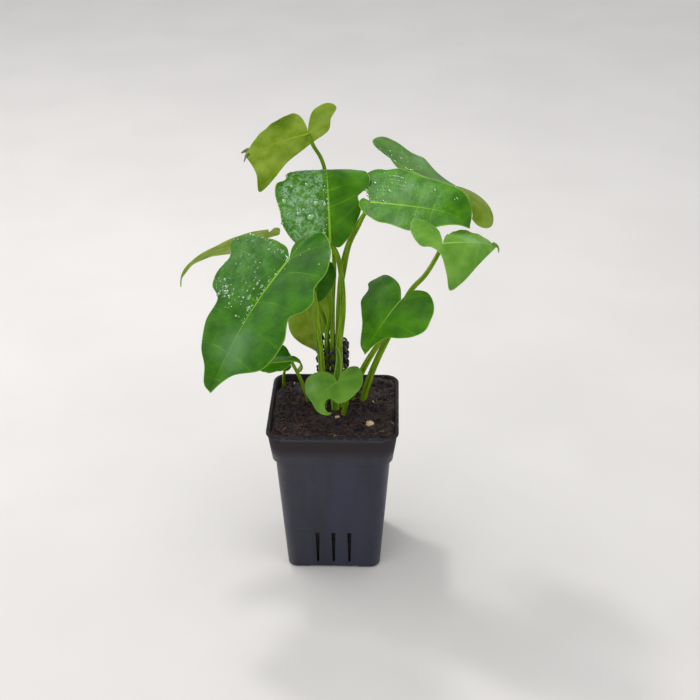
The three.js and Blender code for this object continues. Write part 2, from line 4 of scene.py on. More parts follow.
import bmesh
import bpy
import numpy as np
from bpy.props import FloatProperty, FloatVectorProperty, IntProperty, PointerProperty
from mathutils import Matrix, Vector, noise


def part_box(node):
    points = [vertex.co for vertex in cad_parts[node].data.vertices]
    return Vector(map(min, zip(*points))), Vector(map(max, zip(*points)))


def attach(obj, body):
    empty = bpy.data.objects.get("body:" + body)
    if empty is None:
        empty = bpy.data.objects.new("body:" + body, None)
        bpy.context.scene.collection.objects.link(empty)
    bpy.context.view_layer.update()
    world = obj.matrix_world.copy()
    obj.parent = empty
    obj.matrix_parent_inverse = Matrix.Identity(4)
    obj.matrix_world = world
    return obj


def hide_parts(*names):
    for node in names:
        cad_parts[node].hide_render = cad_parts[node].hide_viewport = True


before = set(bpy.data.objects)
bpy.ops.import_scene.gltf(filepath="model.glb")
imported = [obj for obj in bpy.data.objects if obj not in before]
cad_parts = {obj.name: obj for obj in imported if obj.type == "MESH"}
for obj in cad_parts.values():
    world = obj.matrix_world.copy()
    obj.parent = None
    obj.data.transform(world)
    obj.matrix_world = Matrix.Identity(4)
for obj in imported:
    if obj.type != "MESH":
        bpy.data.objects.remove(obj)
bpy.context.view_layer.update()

bl_info = {
    "name": "Potted Lobed Philodendron",
    "version": (1, 0, 0),
    "blender": (4, 5, 0),
    "location": "View3D > Sidebar > Plant",
    "description": "Models a young lobed philodendron in a square nursery pot",
    "category": "Object",
}

MM = 0.001
BODY = "root"


def rgb(red, green, blue):
    """A display colour of 0 to 255 as the linear colour that shaders take."""
    shares = (red / 255, green / 255, blue / 255)
    return tuple(c / 12.92 if c <= 0.04045 else ((c + 0.055) / 1.055) ** 2.4 for c in shares)


# Leaf shapes, in millimetres and degrees. joint is where the blade meets its stalk, heading and
# rise point the midrib, roll turns the blade about it. droop and curl bend the midrib down, curl
# only past the share curl_from. back bends the lobes behind the joint over the distance basal, and
# twist turns the far end. fold tips each half up, over the distance fold_in if that is given, and
# cup bends it across the width half; both are (left, right). left and right are the edges from the
# notch to the tip, as (across, along). root_from is the share of the edge up to which veins fan
# out from the joint; a hooked midrib is given as rib instead, in (share of the edge, across,
# along). veins counts the side veins of a half, quilt is how far the blade swells between them,
# and wave how far its edge sways. tone and under name the finishes of its two faces, and faint
# makes its veins and margin fainter. glow paints a sheen onto the blade about (across,
# along) within a reach by an amount, and a negative amount paints shade onto it. stalk runs from
# the soil to the blade, radius is given at both ends, and groove is where its groove lies, in
# radians.
PLAIN = dict(
    roll=0, droop=20, curl=0, curl_from=0.5, back=10, basal=30, twist=0, fold=(0, 0), fold_in=0,
    cup=(-10, -10), half=35, root_from=0.3, tone="mid", veins=6, quilt=0.4, wave=0.5, glow=(),
    groove=1.3, under="light", faint=0,
)
LEAVES = {
    "front_left": dict(
        PLAIN, joint=(-30, -22, 261), heading=221, rise=-36, roll=2, length=112,
        droop=26, back=12, fold=(14, 10), cup=(-16, -16), tone="deep", veins=5, quilt=0.6,
        glow=((-4, 74, 22, 0.42), (24, 46, 24, -0.2), (2, 106, 12, -0.45),
              (-16, -2, 24, -0.42)),
        groove=2.2,
        left=[(6, -10), (5, -21), (-3, -30), (-26, -22), (-40, -5), (-41, 10), (-48, 19),
              (-46, 28), (-39, 37), (-46, 53), (-42, 75), (-16, 93)],
        right=[(10, -7), (26, -6), (53, -2), (69, 8), (55, 20), (57, 35), (52, 44), (36, 51),
               (35, 70), (27, 86), (15, 97), (8, 109)],
        stalk=[(-9, 3, 123), (-9, 4, 146), (-10, 5, 168), (-13, 2, 200), (-14, -4, 223),
               (-20, -14, 246)],
        radius=(3.1, 1.7)),
    "centre": dict(
        PLAIN, joint=(-2, 5, 263), heading=96, rise=72, length=84,
        droop=60, curl=120, curl_from=0.4, cup=(-8, -8), tone="mid", quilt=0.5,
        glow=((-20, 28, 16, 0.3), (14, 38, 18, -0.35)),
        left=[(-12, -5), (-25, 0), (-34, 13), (-36, 25), (-39, 39), (-37, 49), (-31, 52),
              (-29, 62), (-21, 74), (-9, 82)],
        right=[(6, -4), (13, 2), (20, 14), (24, 25), (22, 34), (30, 42), (32, 51), (29, 64),
               (21, 75), (9, 82)],
        stalk=[(5, 2, 123), (5, 4, 148), (4, 4, 176), (7, 5, 208), (6, 7, 234), (3, 7, 252)],
        radius=(3.2, 1.8)),
    "right": dict(
        PLAIN, joint=(28, 14, 291), heading=-25, rise=6, roll=-22, length=80,
        droop=10, curl=62, curl_from=0.55, fold=(5, 5), fold_in=16, cup=(-9, -12), tone="mid",
        quilt=0.3, glow=((-18, 22, 8, 0.35), (-14, 62, 8, -0.4), (8, 62, 8, 0.2)),
        left=[(-10, -7), (-22, -14), (-35, -19), (-41, -13), (-39, 7), (-33, 24), (-28, 49),
              (-25, 61), (-19, 69), (-11, 75)],
        right=[(-4, -9), (1, -10), (10, -3), (19, 13), (21, 24), (24, 39), (20, 49), (16, 57),
               (8, 68)],
        stalk=[(4.8, 11, 123), (2.3, 21.5, 143), (2.3, 21.5, 175), (4, 20, 210), (8, 18, 237),
               (12, 16, 257), (18, 14, 271), (23, 14, 282)],
        radius=(2.3, 1.5)),
    "right_back": dict(
        PLAIN, joint=(57, 60, 298), heading=-24, rise=-18, roll=-12, length=75,
        droop=-36, curl=175, curl_from=0.35, back=-2, twist=77, cup=(-12, -12), tone="dusky",
        glow=((-5, -20, 9, -0.4), (-18, 0, 10, 0.4)),
        left=[(4, -8), (-4, -23), (-8, -36), (-12, -40), (-23, -36), (-25, -26), (-22, -9),
              (-23, 3), (-21, 14), (-18, 25), (-24, 36), (-19, 52), (-9, 66)],
        right=[(8, -10), (20, -16), (27, -4), (24, 14), (24, 34), (25, 46), (24, 54), (21, 61),
               (16, 67), (8, 72)],
        stalk=[(4.8, 17.5, 123), (2.3, 26.5, 143), (2.3, 26.5, 175), (3, 32, 203), (6, 38, 232),
               (14, 44, 255), (30, 51, 277), (46, 56, 290)],
        radius=(2.3, 1.5)),
    "right_side": dict(
        PLAIN, joint=(78.6, -40.4, 282.5), heading=16, rise=0, roll=-32, length=44.3, droop=30,
        back=15, fold=(-28, -4), fold_in=16, cup=(-10, -14), root_from=0.45, tone="soft",
        veins=4, faint=0.3,
        glow=((-5, 23, 9, 0.45), (-17, 4, 8, -0.3), (24, -1, 8, 0.1)),
        left=[(-9.6, 5.8), (-19.2, 16.4), (-24, 28.9), (-22.1, 38.5), (-11.5, 43.3)],
        right=[(-15.4, 1), (-20.2, -5.8), (-25, -14.4), (-16.4, -19.2), (-1, -15.4), (1, -8.7),
               (7.7, -3.8), (24, -2.9), (35.6, -2.9), (30.8, 7.7), (15.4, 26)],
        stalk=[(22, 16, 123), (28, 12, 148), (34, 9, 166), (41, 6, 184), (56.9, -5.6, 228.2),
               (67.5, -19.8, 248.8), (75, -33.9, 270)],
        radius=(3, 1.5)),
    "top": dict(
        PLAIN, joint=(-20, 58, 328), heading=199, rise=-8, roll=-66, length=52, droop=16,
        cup=(-8, -8), root_from=0.4, tone="light", veins=4,
        glow=((-24, 22, 14, -0.75), (12, 18, 12, 0.3), (34, 44, 10, -0.5), (-12, -12, 12, 0.4)),
        left=[(-13, 2.6), (-23, 8), (-26, 15), (-22, 27), (-15, 40)],
        right=[(-13, -1), (-24, -5), (-28, -15), (-22, -22), (-11, -18), (1, -16), (8, -6),
               (14, 3), (25, 20), (39, 38), (40, 44), (23, 44), (6, 49)],
        stalk=[(-1, 20.5, 123), (-2, 29, 143), (-2, 29, 175), (-2, 36, 199), (-1, 46, 230),
               (-4, 58, 262), (-8, 64, 296), (-11, 61, 308), (-16, 56, 319)],
        radius=(2.3, 1.4)),
    "left_back": dict(
        PLAIN, joint=(-55, 52, 245), heading=188, rise=-2, roll=-38, length=81, droop=34,
        curl=60, back=20, cup=(-6, -6), root_from=0.42, tone="light",
        left=[(-10, -10), (-24, -12), (-42, -10.5), (-42, -8.4), (-29, -5.6), (-19, -3.4),
              (-29, -3.4), (-36, -2.4), (-35, 2), (-29, 9), (-22, 19), (-14, 32), (-6, 46),
              (-6, 58), (-6, 70)],
        right=[(9, -12), (20, -12), (27, 0), (24, 14), (24, 28), (17, 42), (11, 56), (6, 69)],
        stalk=[(-6.8, 17.5, 123), (-6.3, 26.5, 143), (-6.3, 26.5, 174), (-10, 31, 191),
               (-20, 33, 210), (-37, 40, 230), (-49, 49, 239)],
        radius=(2.3, 1.4)),
    "heart": dict(
        PLAIN, joint=(50, -24, 230), heading=215, rise=-38, length=47, cup=(-12, -12),
        tone="mid", veins=4, faint=0.2, glow=((24, 9, 12, 0.2), (-10, 0, 14, -0.25)),
        left=[(-1, -7), (-5, -13), (-15, -16), (-27, -11), (-33, -3), (-36, 7), (-32, 15),
              (-22, 23), (-13, 27), (-5, 36)],
        right=[(9, -8), (23, -12), (39, -11), (47, 0), (41, 5), (40, 15), (28, 23), (16, 33),
               (9, 43)],
        stalk=[(12, 17, 123), (17, 10, 142), (25, 1, 165), (36, -8, 190), (44, -17, 213),
               (48, -22, 224)],
        radius=(3.2, 1.5)),
    "hanging": dict(
        PLAIN, joint=(-28, 46, 210), heading=58, rise=-72, roll=40, length=69, droop=10,
        back=30, tone="light", veins=5,
        left=[(-6, -12), (-16, -14), (-17, -2), (-14, 14), (-16, 30), (-17, 44), (-12, 56)],
        right=[(6, -12), (18, -10), (24, 6), (22, 22), (18, 36), (10, 50)],
        stalk=[(-6.8, 11, 123), (-6.3, 21.5, 143), (-6.3, 21.5, 175), (-4, 30, 195),
               (-9, 37, 211), (-20, 43, 216)],
        radius=(2.3, 1.3)),
    "shaded": dict(
        PLAIN, joint=(-13, 16, 236), heading=271, rise=-62, length=26, back=20, basal=12,
        half=16, tone="deep", veins=3,
        left=[(-5, -6), (-12, -5), (-15, 4), (-12, 14), (-6, 22)],
        right=[(5, -6), (12, -5), (15, 3), (13, 12), (7, 20)],
        stalk=[(-1, 8, 123), (-2, 19, 143), (-2, 19, 175), (-1, 21, 205), (-3, 21, 226),
               (-8, 20, 236)],
        radius=(2, 1.1)),
    "low_left": dict(
        PLAIN, joint=(-32, 2, 165), heading=191, rise=0, roll=-4, length=30, droop=4, back=180,
        basal=27, fold=(-30, 0), fold_in=16, half=14, root_from=0.35, tone="mid", veins=3,
        left=[(-4, 2), (-7, 6), (-8, 13), (-8, 20), (-5, 26)],
        right=[(4, -9), (7.5, -16), (11, -22.5), (13, -22), (14, -12), (14, 0), (13, 10),
               (9, 20)],
        stalk=[(-21, 15, 123), (-23, 8, 136), (-25, 4, 146), (-29, 2, 157)],
        radius=(1.9, 1.2)),
    "low_back": dict(
        PLAIN, joint=(-36, 16, 157), heading=162, rise=14, roll=30, length=27, basal=12,
        half=14, tone="deep", veins=3,
        left=[(-3, -4), (-7, -3), (-9, 3), (-8, 13), (-4, 22)],
        right=[(4, -1), (8, 3), (12, 8), (13, 14), (12, 20), (7, 25)],
        stalk=[(-42, 38, 123), (-41, 30, 138), (-38, 20, 151)],
        radius=(1.3, 1)),
    "low_front": dict(
        PLAIN, joint=(4, -28, 164), heading=234, rise=-22, length=27, droop=40, basal=20,
        cup=(-12, -12), root_from=0.45, tone="soft", veins=2, wave=0.2, faint=0.5,
        glow=((18, 12, 8, 0.35), (-4, -10, 6, -0.2)),
        rib=[(0.45, 0, 0), (0.62, 2.6, 4.6), (0.708, 3.6, 8.1), (0.75, 4.2, 10.3),
             (0.79, 4.4, 12.9), (0.833, 3.6, 16), (0.875, 2.2, 20), (0.917, -0.4, 23),
             (0.958, -4, 24.8), (1, -8.6, 23.8)],
        left=[(2.8, -9), (2, -16), (-3, -20.5), (-9, -18), (-15, -12), (-18.6, -4),
              (-18.6, 3.5), (-15.8, 11), (-10.3, 15.6), (-4.5, 14.8), (-1.2, 15.1), (0.4, 17),
              (0.4, 20), (-4, 24.2)],
        right=[(8.5, -4.8), (16.5, -5.3), (23, -2.4), (26.2, 4), (25, 10.5), (19.5, 17.5),
               (11.5, 22), (7.7, 24.6), (3.6, 26.8), (-1, 27.4), (-6, 26.4)],
        stalk=[(7, -7, 123), (10, -15, 138), (10, -22, 149), (7, -26, 157)],
        radius=(2, 1.3)),
}
# Wet parts of the blades: leaf, number of drops, share of the edge and reach from the midrib
# (each from, to), side, and how strongly a pale sheen of spray, painted as a reflection, lies
# between the drops.
WET = (
    ("front_left", 230, (0.16, 0.66), (0.1, 0.96), "right", 0.1),
    ("front_left", 12, (0.1, 0.4), (0.1, 0.9), "left", 0.0),
    ("centre", 150, (0.1, 0.96), (0.06, 0.97), "left", 0.75),
    ("right", 80, (0.08, 0.52), (0.1, 0.9), "left", 0.12),
    ("right", 12, (0.6, 0.8), (0.3, 0.95), "left", 0.1),
    ("right_back", 26, (0.15, 0.5), (0.2, 0.8), "left", 0.1),
)
# Large drops: leaf, place across and along, size.
BEADS = (
    ("front_left", (30, 43), 2.7), ("front_left", (34, 40), 1.9), ("front_left", (26, 46), 1.7),
    ("front_left", (36, 47), 1.5), ("front_left", (41, 37), 1.6), ("centre", (-13, 19), 2.5),
    ("centre", (-31, 33), 2.0), ("centre", (-11, 29), 2.0), ("centre", (-22, 22), 1.6),
    ("centre", (-26, 44), 1.5),
)
# Clusters of small drops with painted glints: leaf, place across and along, reach, number.
GLINTS = (
    ("right", (-28, 7), 3.6, 12), ("right", (-14, 5), 3.0, 9), ("right", (-19, 19), 4.5, 9),
    ("right", (-15, 60), 1.6, 4), ("right_back", (-5, -14), 3.0, 4), ("right", (-24, 12), 6.0, 8),
)
# The sheath leaf's middle line, and its radius at both ends.
SHEATH = dict(stalk=[(1, -3.6, 123), (1.2, -3.8, 145), (3, -3.4, 158), (3.9, -3, 170),
                     (3, -3, 178), (1.6, -3.2, 181)], radius=(2.3, 0.45))
# Dry curls at the tips of two blades: finish, radius at each place of the path, and the path.
TIP_CURLS = (
    ("dry_tip", (1.4, 1.7, 1.1, 0.4), [(-60.8, 38.4, 322), (-63.4, 38.2, 321.7),
                                       (-66.2, 37.3, 321), (-68.1, 36.4, 320)]),
    ("dry_tip", (1.3, 0.9, 0.6, 0.3), [(-62.6, 37.2, 319.3), (-64.7, 35.6, 317.4),
                                       (-65.5, 34.3, 315.6), (-66, 33.4, 314.3)]),
    ("green_tip", (1.3, 1.0, 0.7, 0.3), [(114.6, -22, 275.2), (117.2, -22.6, 274.2),
                                         (118.9, -23.5, 271.8), (119, -24.8, 269.2)]),
)
# The coil round the back stalks. bottom and pitch are heights, and turns counts its rounds.
COIL = dict(centre=(-2, 24), radius=10.6, bottom=148, pitch=8, turns=3.1)
SOIL_TOP = 122.5
SOIL_REACH = 46.0
ROOT_DEPTH = 8
# Height and width, with both walls, of the soil block's rings under its surface.
SOIL_RINGS = ((117.5, 96.4), (103, 90.0), (101, 84.0), (5, 70.0))
BOTH_WALLS = 3.6
# Soil drawn up round the stalks' feet: place, height and reach.
MOUNDS = (
    (0, -9, 4.6, 6), (2, -2, 3.4, 8), (-9, 1, 2.0, 7), (12, 16, 2.2, 7), (22, 14, 2.4, 6),
    (-21, 14, 1.8, 5), (-42, 37, 1.6, 5), (-3, 17, 2.0, 10),
)
# Chips and bark on the soil: place, half sizes, turn, finish.
STRAY_BITS = (
    ((45, -20), (0.9, 3.6, 0.5), 0.5, "bark"),
    ((38, -34), (3.2, 0.8, 0.5), 0.4, "bark"),
    ((-20, 22), (1.6, 1.0, 0.6), 0.3, "chip"),
    ((2.5, -12.5), (2.4, 1.4, 0.9), 0.5, "chip"),
    ((30, 14), (1.5, 0.9, 0.6), 2.0, "chip"),
    ((-36, -30), (1.0, 0.8, 0.6), 0.2, "bark"),
)
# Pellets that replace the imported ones, and their radius.
STONES = {"pellet": 3.4, "grit_left": 1.5, "grit_right": 1.4, "grit_front": 1.3}

# Finish of a blade: its dark and bright greens, and the colour of its veins.
TONES = {
    "deep": ((30, 82, 0), (58, 114, 10), (130, 176, 34)),
    "mid": ((40, 96, 0), (72, 130, 8), (142, 186, 40)),
    "soft": ((78, 128, 34), (110, 156, 54), (152, 188, 82)),
    "dusky": ((60, 102, 36), (88, 126, 54), (128, 164, 84)),
    "light": ((84, 128, 0), (124, 158, 20), (168, 194, 58)),
}
# The pale colour of the painted sheen and the painted reflection on wet blades.
PAINTED_SHEEN = (160, 200, 158)
# The shader's specular level for blades and stalks.
BLADE_GLOSS = 0.12

# Places across a blade, in millimetres from its midrib and from its edge, that the mesh keeps.
NEAR_RIB = np.array([0, 0.4, 0.8, 1.2, 1.6, 2.2, 3.2, 4.6])
NEAR_EDGE = np.array([1.7, 0.8, 0.3])
# Share of the edge at which the notch's rows start, and how far a stalk stops under its blade.
NOTCH_SHARE = 0.012
JOINT_DROP = 0.85
# Depth of a stalk's groove, as a share of the radius, and its width in radians.
GROOVE_DEPTH, GROOVE_WIDTH = 0.16, 0.45
# Steps in one curl of the cord, and sides of the cord's mesh.
CURL_STEPS, CORD_SIDES = 12, 7
# Corners of the pot sharper than this are rounded.
SHARP_ANGLE = math.radians(32)
# Where the light that the drops mirror comes from.
LIT_FROM = Vector((-0.45, -0.1, 0.88))

CAMERA_PLACE = (0.0424, -0.9369, 0.6757)
CAMERA_PITCH, CAMERA_YAW, CAMERA_ROLL = 28.039, -1.833, -0.26
CAMERA_LENS, CAMERA_SENSOR = 72, 36
# Place and size of each light, in metres, and the point that all of them face.
LIGHTS = {
    "key": ((-0.9, 0.55, 1.35), 1.5),
    "fill": ((-0.9, -1.4, 1.2), 1.4),
    "side": ((1.3, -0.9, 1.3), 1.4),
    "glint": ((-0.3, 0.5, 1.2), 0.12),
}
LIT_POINT = (0.0, 0.0, 0.18)
SKY_COLOUR = (0.93, 0.95, 1.0, 1)


# ---------------------------------------------------------------- curves and lofts

def smooth_line(points, count):
    """count + 1 places at even steps along a smooth curve through the points."""
    knots = [np.array(p, float) for p in points]
    knots = [2 * knots[0] - knots[1], *knots, 2 * knots[-1] - knots[-2]]
    fine = []
    steps = np.linspace(0, 1, 41)[:, None]
    for i in range(1, len(knots) - 2):
        a, b, c, d = knots[i - 1:i + 3]
        middle = max(np.linalg.norm(c - b), 1e-8) ** 0.5
        before = np.linalg.norm(b - a) ** 0.5 or middle
        after = np.linalg.norm(d - c) ** 0.5 or middle
        start = (b - a) / before - (c - a) / (before + middle) + (c - b) / middle
        end = (c - b) / middle - (d - b) / (middle + after) + (d - c) / after
        start, end = start * middle, end * middle
        piece = (b + start * steps + (3 * (c - b) - 2 * start - end) * steps ** 2
                 + (2 * (b - c) + start + end) * steps ** 3)
        fine.append(piece[:-1])
    fine = np.vstack([*fine, knots[-2][None]])
    travel = np.r_[0, np.cumsum(np.linalg.norm(np.diff(fine, axis=0), axis=1))]
    wanted = np.linspace(0, travel[-1], count + 1)
    return np.stack([np.interp(wanted, travel, fine[:, k]) for k in range(fine.shape[1])], 1)


def line_length(points):
    """Length of the straight pieces between points."""
    return float(np.linalg.norm(np.diff(np.array(points, float), axis=0), axis=1).sum())


def frames_along(path):
    """Two directions across a path at each of its points, carried along without twisting."""
    ways = np.gradient(path, axis=0)
    ways /= np.linalg.norm(ways, axis=1)[:, None]
    side = np.cross(ways[0], (0.0, 1.0, 0.0) if abs(ways[0][1]) < 0.9 else (1.0, 0.0, 0.0))
    sides, ups = [], []
    for way in ways:
        side = side - way * side.dot(way)
        side /= np.linalg.norm(side)
        sides.append(side)
        ups.append(np.cross(way, side))
    return np.array(sides), np.array(ups)


def extrude_rim(bm, edges):
    """Extrudes a loop of edges; returns the new corners, their edges and the new faces."""
    made = bmesh.ops.extrude_edge_only(bm, edges=edges)["geom"]
    fresh = [g for g in made if isinstance(g, bmesh.types.BMVert)]
    marked = set(fresh)
    rim = [g for g in made if isinstance(g, bmesh.types.BMEdge)
           and g.verts[0] in marked and g.verts[1] in marked]
    return fresh, rim, [g for g in made if isinstance(g, bmesh.types.BMFace)]


def loft(bm, rings, material=0):
    """Skins a row of like rings: create_circle gives the first, and each next is extruded."""
    ring = bmesh.ops.create_circle(bm, segments=len(rings[0]), radius=1)["verts"]
    for vert, place in zip(ring, rings[0]):
        vert.co = place
    first = edges = list({edge for vert in ring for edge in vert.link_edges})
    skin = []
    for places in rings[1:]:
        fresh, edges, faces = extrude_rim(bm, edges)
        marked = set(fresh)
        skin += faces
        ring = [next(e.other_vert(v) for e in v.link_edges if e.other_vert(v) in marked)
                for v in ring]
        for vert, place in zip(ring, places):
            vert.co = place
    for end in (first, edges):
        skin += bmesh.ops.edgeloop_fill(bm, edges=end)["faces"]
    bmesh.ops.recalc_face_normals(bm, faces=skin)
    for face in skin:
        face.material_index = material


def tube_rings(path, radii, sides, shape=None):
    """Rings round a path in millimetres, as metres. shape scales the radius by angle and step."""
    across, above = frames_along(path)
    turns = 2 * math.pi * np.arange(sides) / sides
    rings = []
    for i, middle in enumerate(path):
        reach = radii[i] * (shape(turns, i / (len(path) - 1)) if shape else np.ones(sides))
        ring = (middle + np.outer(np.cos(turns) * reach, across[i])
                + np.outer(np.sin(turns) * reach, above[i]))
        rings.append(ring * MM)
    return rings


def in_batches(bm, items, put, size=16):
    """Calls put(part, item) on small meshes and adds each to bm, as a large one is slow."""
    for first in range(0, len(items), size):
        part = bmesh.new()
        for item in items[first:first + size]:
            put(part, item)
        mesh = bpy.data.meshes.new("batch")
        part.to_mesh(mesh)
        part.free()
        bm.from_mesh(mesh)
        bpy.data.meshes.remove(mesh)


def finish_piece(name, bm, materials, replaces=(), smooth=True):
    """Makes a mesh object of bm, gives it its finish and lets it ride on the pot's body."""
    mesh = bpy.data.meshes.new(name)
    bm.to_mesh(mesh)
    bm.free()
    for material in materials:
        mesh.materials.append(material)
    if smooth:
        mesh.shade_smooth()
    piece = bpy.data.objects.new(name, mesh)
    bpy.context.scene.collection.objects.link(piece)
    if replaces:
        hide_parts(*replaces)
    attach(piece, BODY)
    return piece


# ---------------------------------------------------------------- finishes

def new_material(name):
    """A material with one Principled shader; returns the material, its tree and the shader."""
    material = bpy.data.materials.new(name)
    material.use_nodes = True
    tree = material.node_tree
    tree.nodes.clear()
    output = tree.nodes.new("ShaderNodeOutputMaterial")
    shader = tree.nodes.new("ShaderNodeBsdfPrincipled")
    tree.links.new(shader.outputs[0], output.inputs["Surface"])
    return material, tree, shader


def feed(tree, node, key, value):
    """Links the node's input where value comes from another node, and else sets it."""
    if isinstance(value, bpy.types.NodeSocket):
        tree.links.new(value, node.inputs[key])
    else:
        node.inputs[key].default_value = value


def dress(tree, shader, colour, roughness, normal, gloss=0.5):
    """Gives the shader its colour, roughness, relief and constant gloss."""
    feed(tree, shader, "Base Color", colour)
    feed(tree, shader, "Roughness", roughness)
    feed(tree, shader, "Normal", normal)
    shader.inputs["Specular IOR Level"].default_value = gloss


def add(tree, kind, inputs=(), **settings):
    """A node with its inputs linked or set."""
    made = tree.nodes.new("ShaderNode" + kind)
    for key, value in settings.items():
        setattr(made, key, value)
    for key, value in dict(inputs).items():
        feed(tree, made, key, value)
    return made


def blend_colour(tree, share, first, second):
    """first where share is 0 and second where it is 1."""
    made = add(tree, "Mix", data_type="RGBA")
    for index, value in ((0, share), (6, first), (7, second)):
        feed(tree, made, index, (*value, 1) if isinstance(value, tuple) else value)
    return made.outputs[2]


def spread(tree, value, low, high, out_low=0.0, out_high=1.0):
    """value eased from the span low..high to out_low..out_high."""
    made = add(tree, "MapRange", {"Value": value, "From Min": low, "From Max": high,
                                  "To Min": out_low, "To Max": out_high},
               interpolation_type="SMOOTHSTEP")
    return made.outputs[0]


def tint(tree, colour, other, value, low, high, at_low=0.0, at_high=1.0):
    """colour, with a share of other that eases from at_low to at_high as value rises."""
    return blend_colour(tree, spread(tree, value, low, high, at_low, at_high), colour, other)


def cloud(tree, vector, scale, detail=3.0, roughness=0.5, distortion=0.0):
    """A soft noise between 0 and 1."""
    made = add(tree, "TexNoise", {"Vector": vector, "Scale": scale, "Detail": detail,
                                  "Roughness": roughness, "Distortion": distortion})
    return made.outputs[0]


def cells(tree, vector, scale, feature="F1"):
    """Distance to the nearest of many scattered points, or to the edges between them."""
    return add(tree, "TexVoronoi", {"Vector": vector, "Scale": scale}, feature=feature).outputs[0]


def maths(tree, operation, first, second=0.0):
    """One sum of two values."""
    return add(tree, "Math", {0: first, 1: second}, operation=operation).outputs[0]


def stretched(tree, vector, scale):
    """vector with each axis scaled, so that a pattern runs along one of them."""
    return add(tree, "Mapping", {"Vector": vector, "Scale": scale}).outputs[0]


def layer(tree, name, output="Fac"):
    """A layer that the mesh carries."""
    return add(tree, "Attribute", attribute_name=name).outputs[output]


def object_place(tree):
    """The point's own place, in metres."""
    return add(tree, "TexCoord").outputs["Object"]


def raise_surface(tree, height, distance, under=None):
    """A bump's normal for a height, on top of another bump's."""
    inputs = {"Height": height, "Distance": distance}
    if under is not None:
        inputs["Normal"] = under
    return add(tree, "Bump", inputs).outputs[0]


def scaled(colour, by, more=0.0):
    """A colour with each part multiplied and then raised."""
    return tuple(min(1.0, by * c + more) for c in colour)


def blade_upper_finish(tone):
    """The waxy upper face: mottled green, light veins that thin out, painted sheen and shade in
    broad places, and a patchy layer of spray on the wet parts, painted pale as a reflection.
    """
    dark, bright, vein_colour = (rgb(*c) for c in TONES[tone])
    material, tree, shader = new_material("blade_upper_" + tone)
    flat, vein, glow = layer(tree, "flat", "Vector"), layer(tree, "vein"), layer(tree, "glow")
    colour = tint(tree, dark, bright, cloud(tree, flat, 0.07, 4.0), 0.3, 0.7)
    colour = tint(tree, colour, bright, cloud(tree, flat, 0.9, 3.0), 0.35, 0.75, 0.0, 0.22)
    colour = tint(tree, colour, bright, vein, 0.0, 9.0, 0.16, 0.0)

    # Painted light in broad places: a painted sheen, and painted shade where the amount is
    # negative.
    sheen = tuple(0.55 * b + 0.45 * d for b, d in zip(bright, rgb(*PAINTED_SHEEN)))
    colour = tint(tree, colour, sheen, glow, 0.0, 0.8, 0.0, 0.8)
    colour = tint(tree, colour, scaled(dark, 0.55), glow, -0.9, 0.0, 0.85, 0.0)

    # The veins stand out towards the midrib and fade into the blade.
    strand = maths(tree, "SINE", maths(tree, "MULTIPLY", layer(tree, "strand"), 2.6))
    colour = tint(tree, colour, vein_colour, strand, 0.2, 1.0, 0.0, 0.03)
    shown = maths(tree, "MULTIPLY", spread(tree, vein, 0.4, 1.3, 0.26, 0.0),
                  spread(tree, cloud(tree, flat, 0.035, 1.0), 0.42, 0.62, 0.08, 1.0))
    colour = blend_colour(tree, shown, colour, vein_colour)
    shown = maths(tree, "MULTIPLY", spread(tree, layer(tree, "rib"), 0.6, 1.2, 1.0, 0.0),
                  spread(tree, layer(tree, "along"), 0.1, 0.9, 0.9, 0.25))
    colour = blend_colour(tree, shown, colour, vein_colour)

    # A layer of fine spray lies on the wet parts in patches, its pale colour a painted reflection.
    sheen_film = maths(tree, "MULTIPLY", layer(tree, "dew"),
                 spread(tree, cloud(tree, flat, 0.2, 4.0, 0.6, 0.5), 0.38, 0.6))
    sheen_film = maths(tree, "MULTIPLY", sheen_film,
                 spread(tree, cells(tree, flat, 0.62), 0.25, 0.5, 0.1, 1.0))
    colour = blend_colour(tree, maths(tree, "MULTIPLY", sheen_film, 0.8), colour, rgb(*PAINTED_SHEEN))

    colour = tint(tree, colour, scaled(vein_colour, 0.8, 0.02), layer(tree, "edge"),
                  0.2, 1.0, 0.8, 0.0)
    patch = spread(tree, cloud(tree, flat, 0.05, 2.0), 0.3, 0.7, 0.34, 0.48)
    patch = maths(tree, "SUBTRACT", patch, maths(tree, "MULTIPLY", sheen_film, 0.16))
    bump = raise_surface(tree, strand, 0.000008)
    bump = raise_surface(tree, cloud(tree, flat, 0.3, 3.0), 0.00045, bump)
    bump = raise_surface(tree, sheen_film, 0.0003, bump)
    dress(tree, shader, colour, patch, bump, BLADE_GLOSS)
    return material


def blade_lower_finish(tone):
    """The duller underside: paler green with raised light veins."""
    dark, bright, vein_colour = (rgb(*c) for c in TONES[tone])
    material, tree, shader = new_material("blade_lower_" + tone)
    flat, glow = layer(tree, "flat", "Vector"), layer(tree, "glow")
    colour = tint(tree, bright, scaled(vein_colour, 0.92, 0.03), cloud(tree, flat, 0.08, 4.0),
                  0.3, 0.7)
    # Painted light in broad places: a pale painted sheen, and painted shade where the amount is
    # negative.
    colour = tint(tree, colour, scaled(vein_colour, 0.7, 0.08), glow, 0.0, 0.8, 0.0, 0.7)
    colour = tint(tree, colour, scaled(dark, 0.7), glow, -0.9, 0.0, 0.85, 0.0)
    net = cells(tree, flat, 0.55, "DISTANCE_TO_EDGE")
    colour = tint(tree, colour, vein_colour, net, 0.0, 0.12, 0.25, 0.0)
    colour = tint(tree, colour, vein_colour, layer(tree, "vein"), 0.5, 1.5, 0.25, 0.0)
    colour = tint(tree, colour, vein_colour, layer(tree, "rib"), 0.8, 1.2, 0.6, 0.0)
    bump = raise_surface(tree, spread(tree, net, 0.0, 0.3, 1.0, 0.0), 0.00006)
    dress(tree, shader, colour, 0.55, bump, BLADE_GLOSS)
    return material


def blade_finishes(leaf):
    """The finishes of the leaf's upper and lower face. Each is made once."""
    made = bpy.data.materials.get
    tone, under = leaf["tone"], leaf["under"]
    return [made("blade_upper_" + tone) or blade_upper_finish(tone),
            made("blade_lower_" + under) or blade_lower_finish(under)]


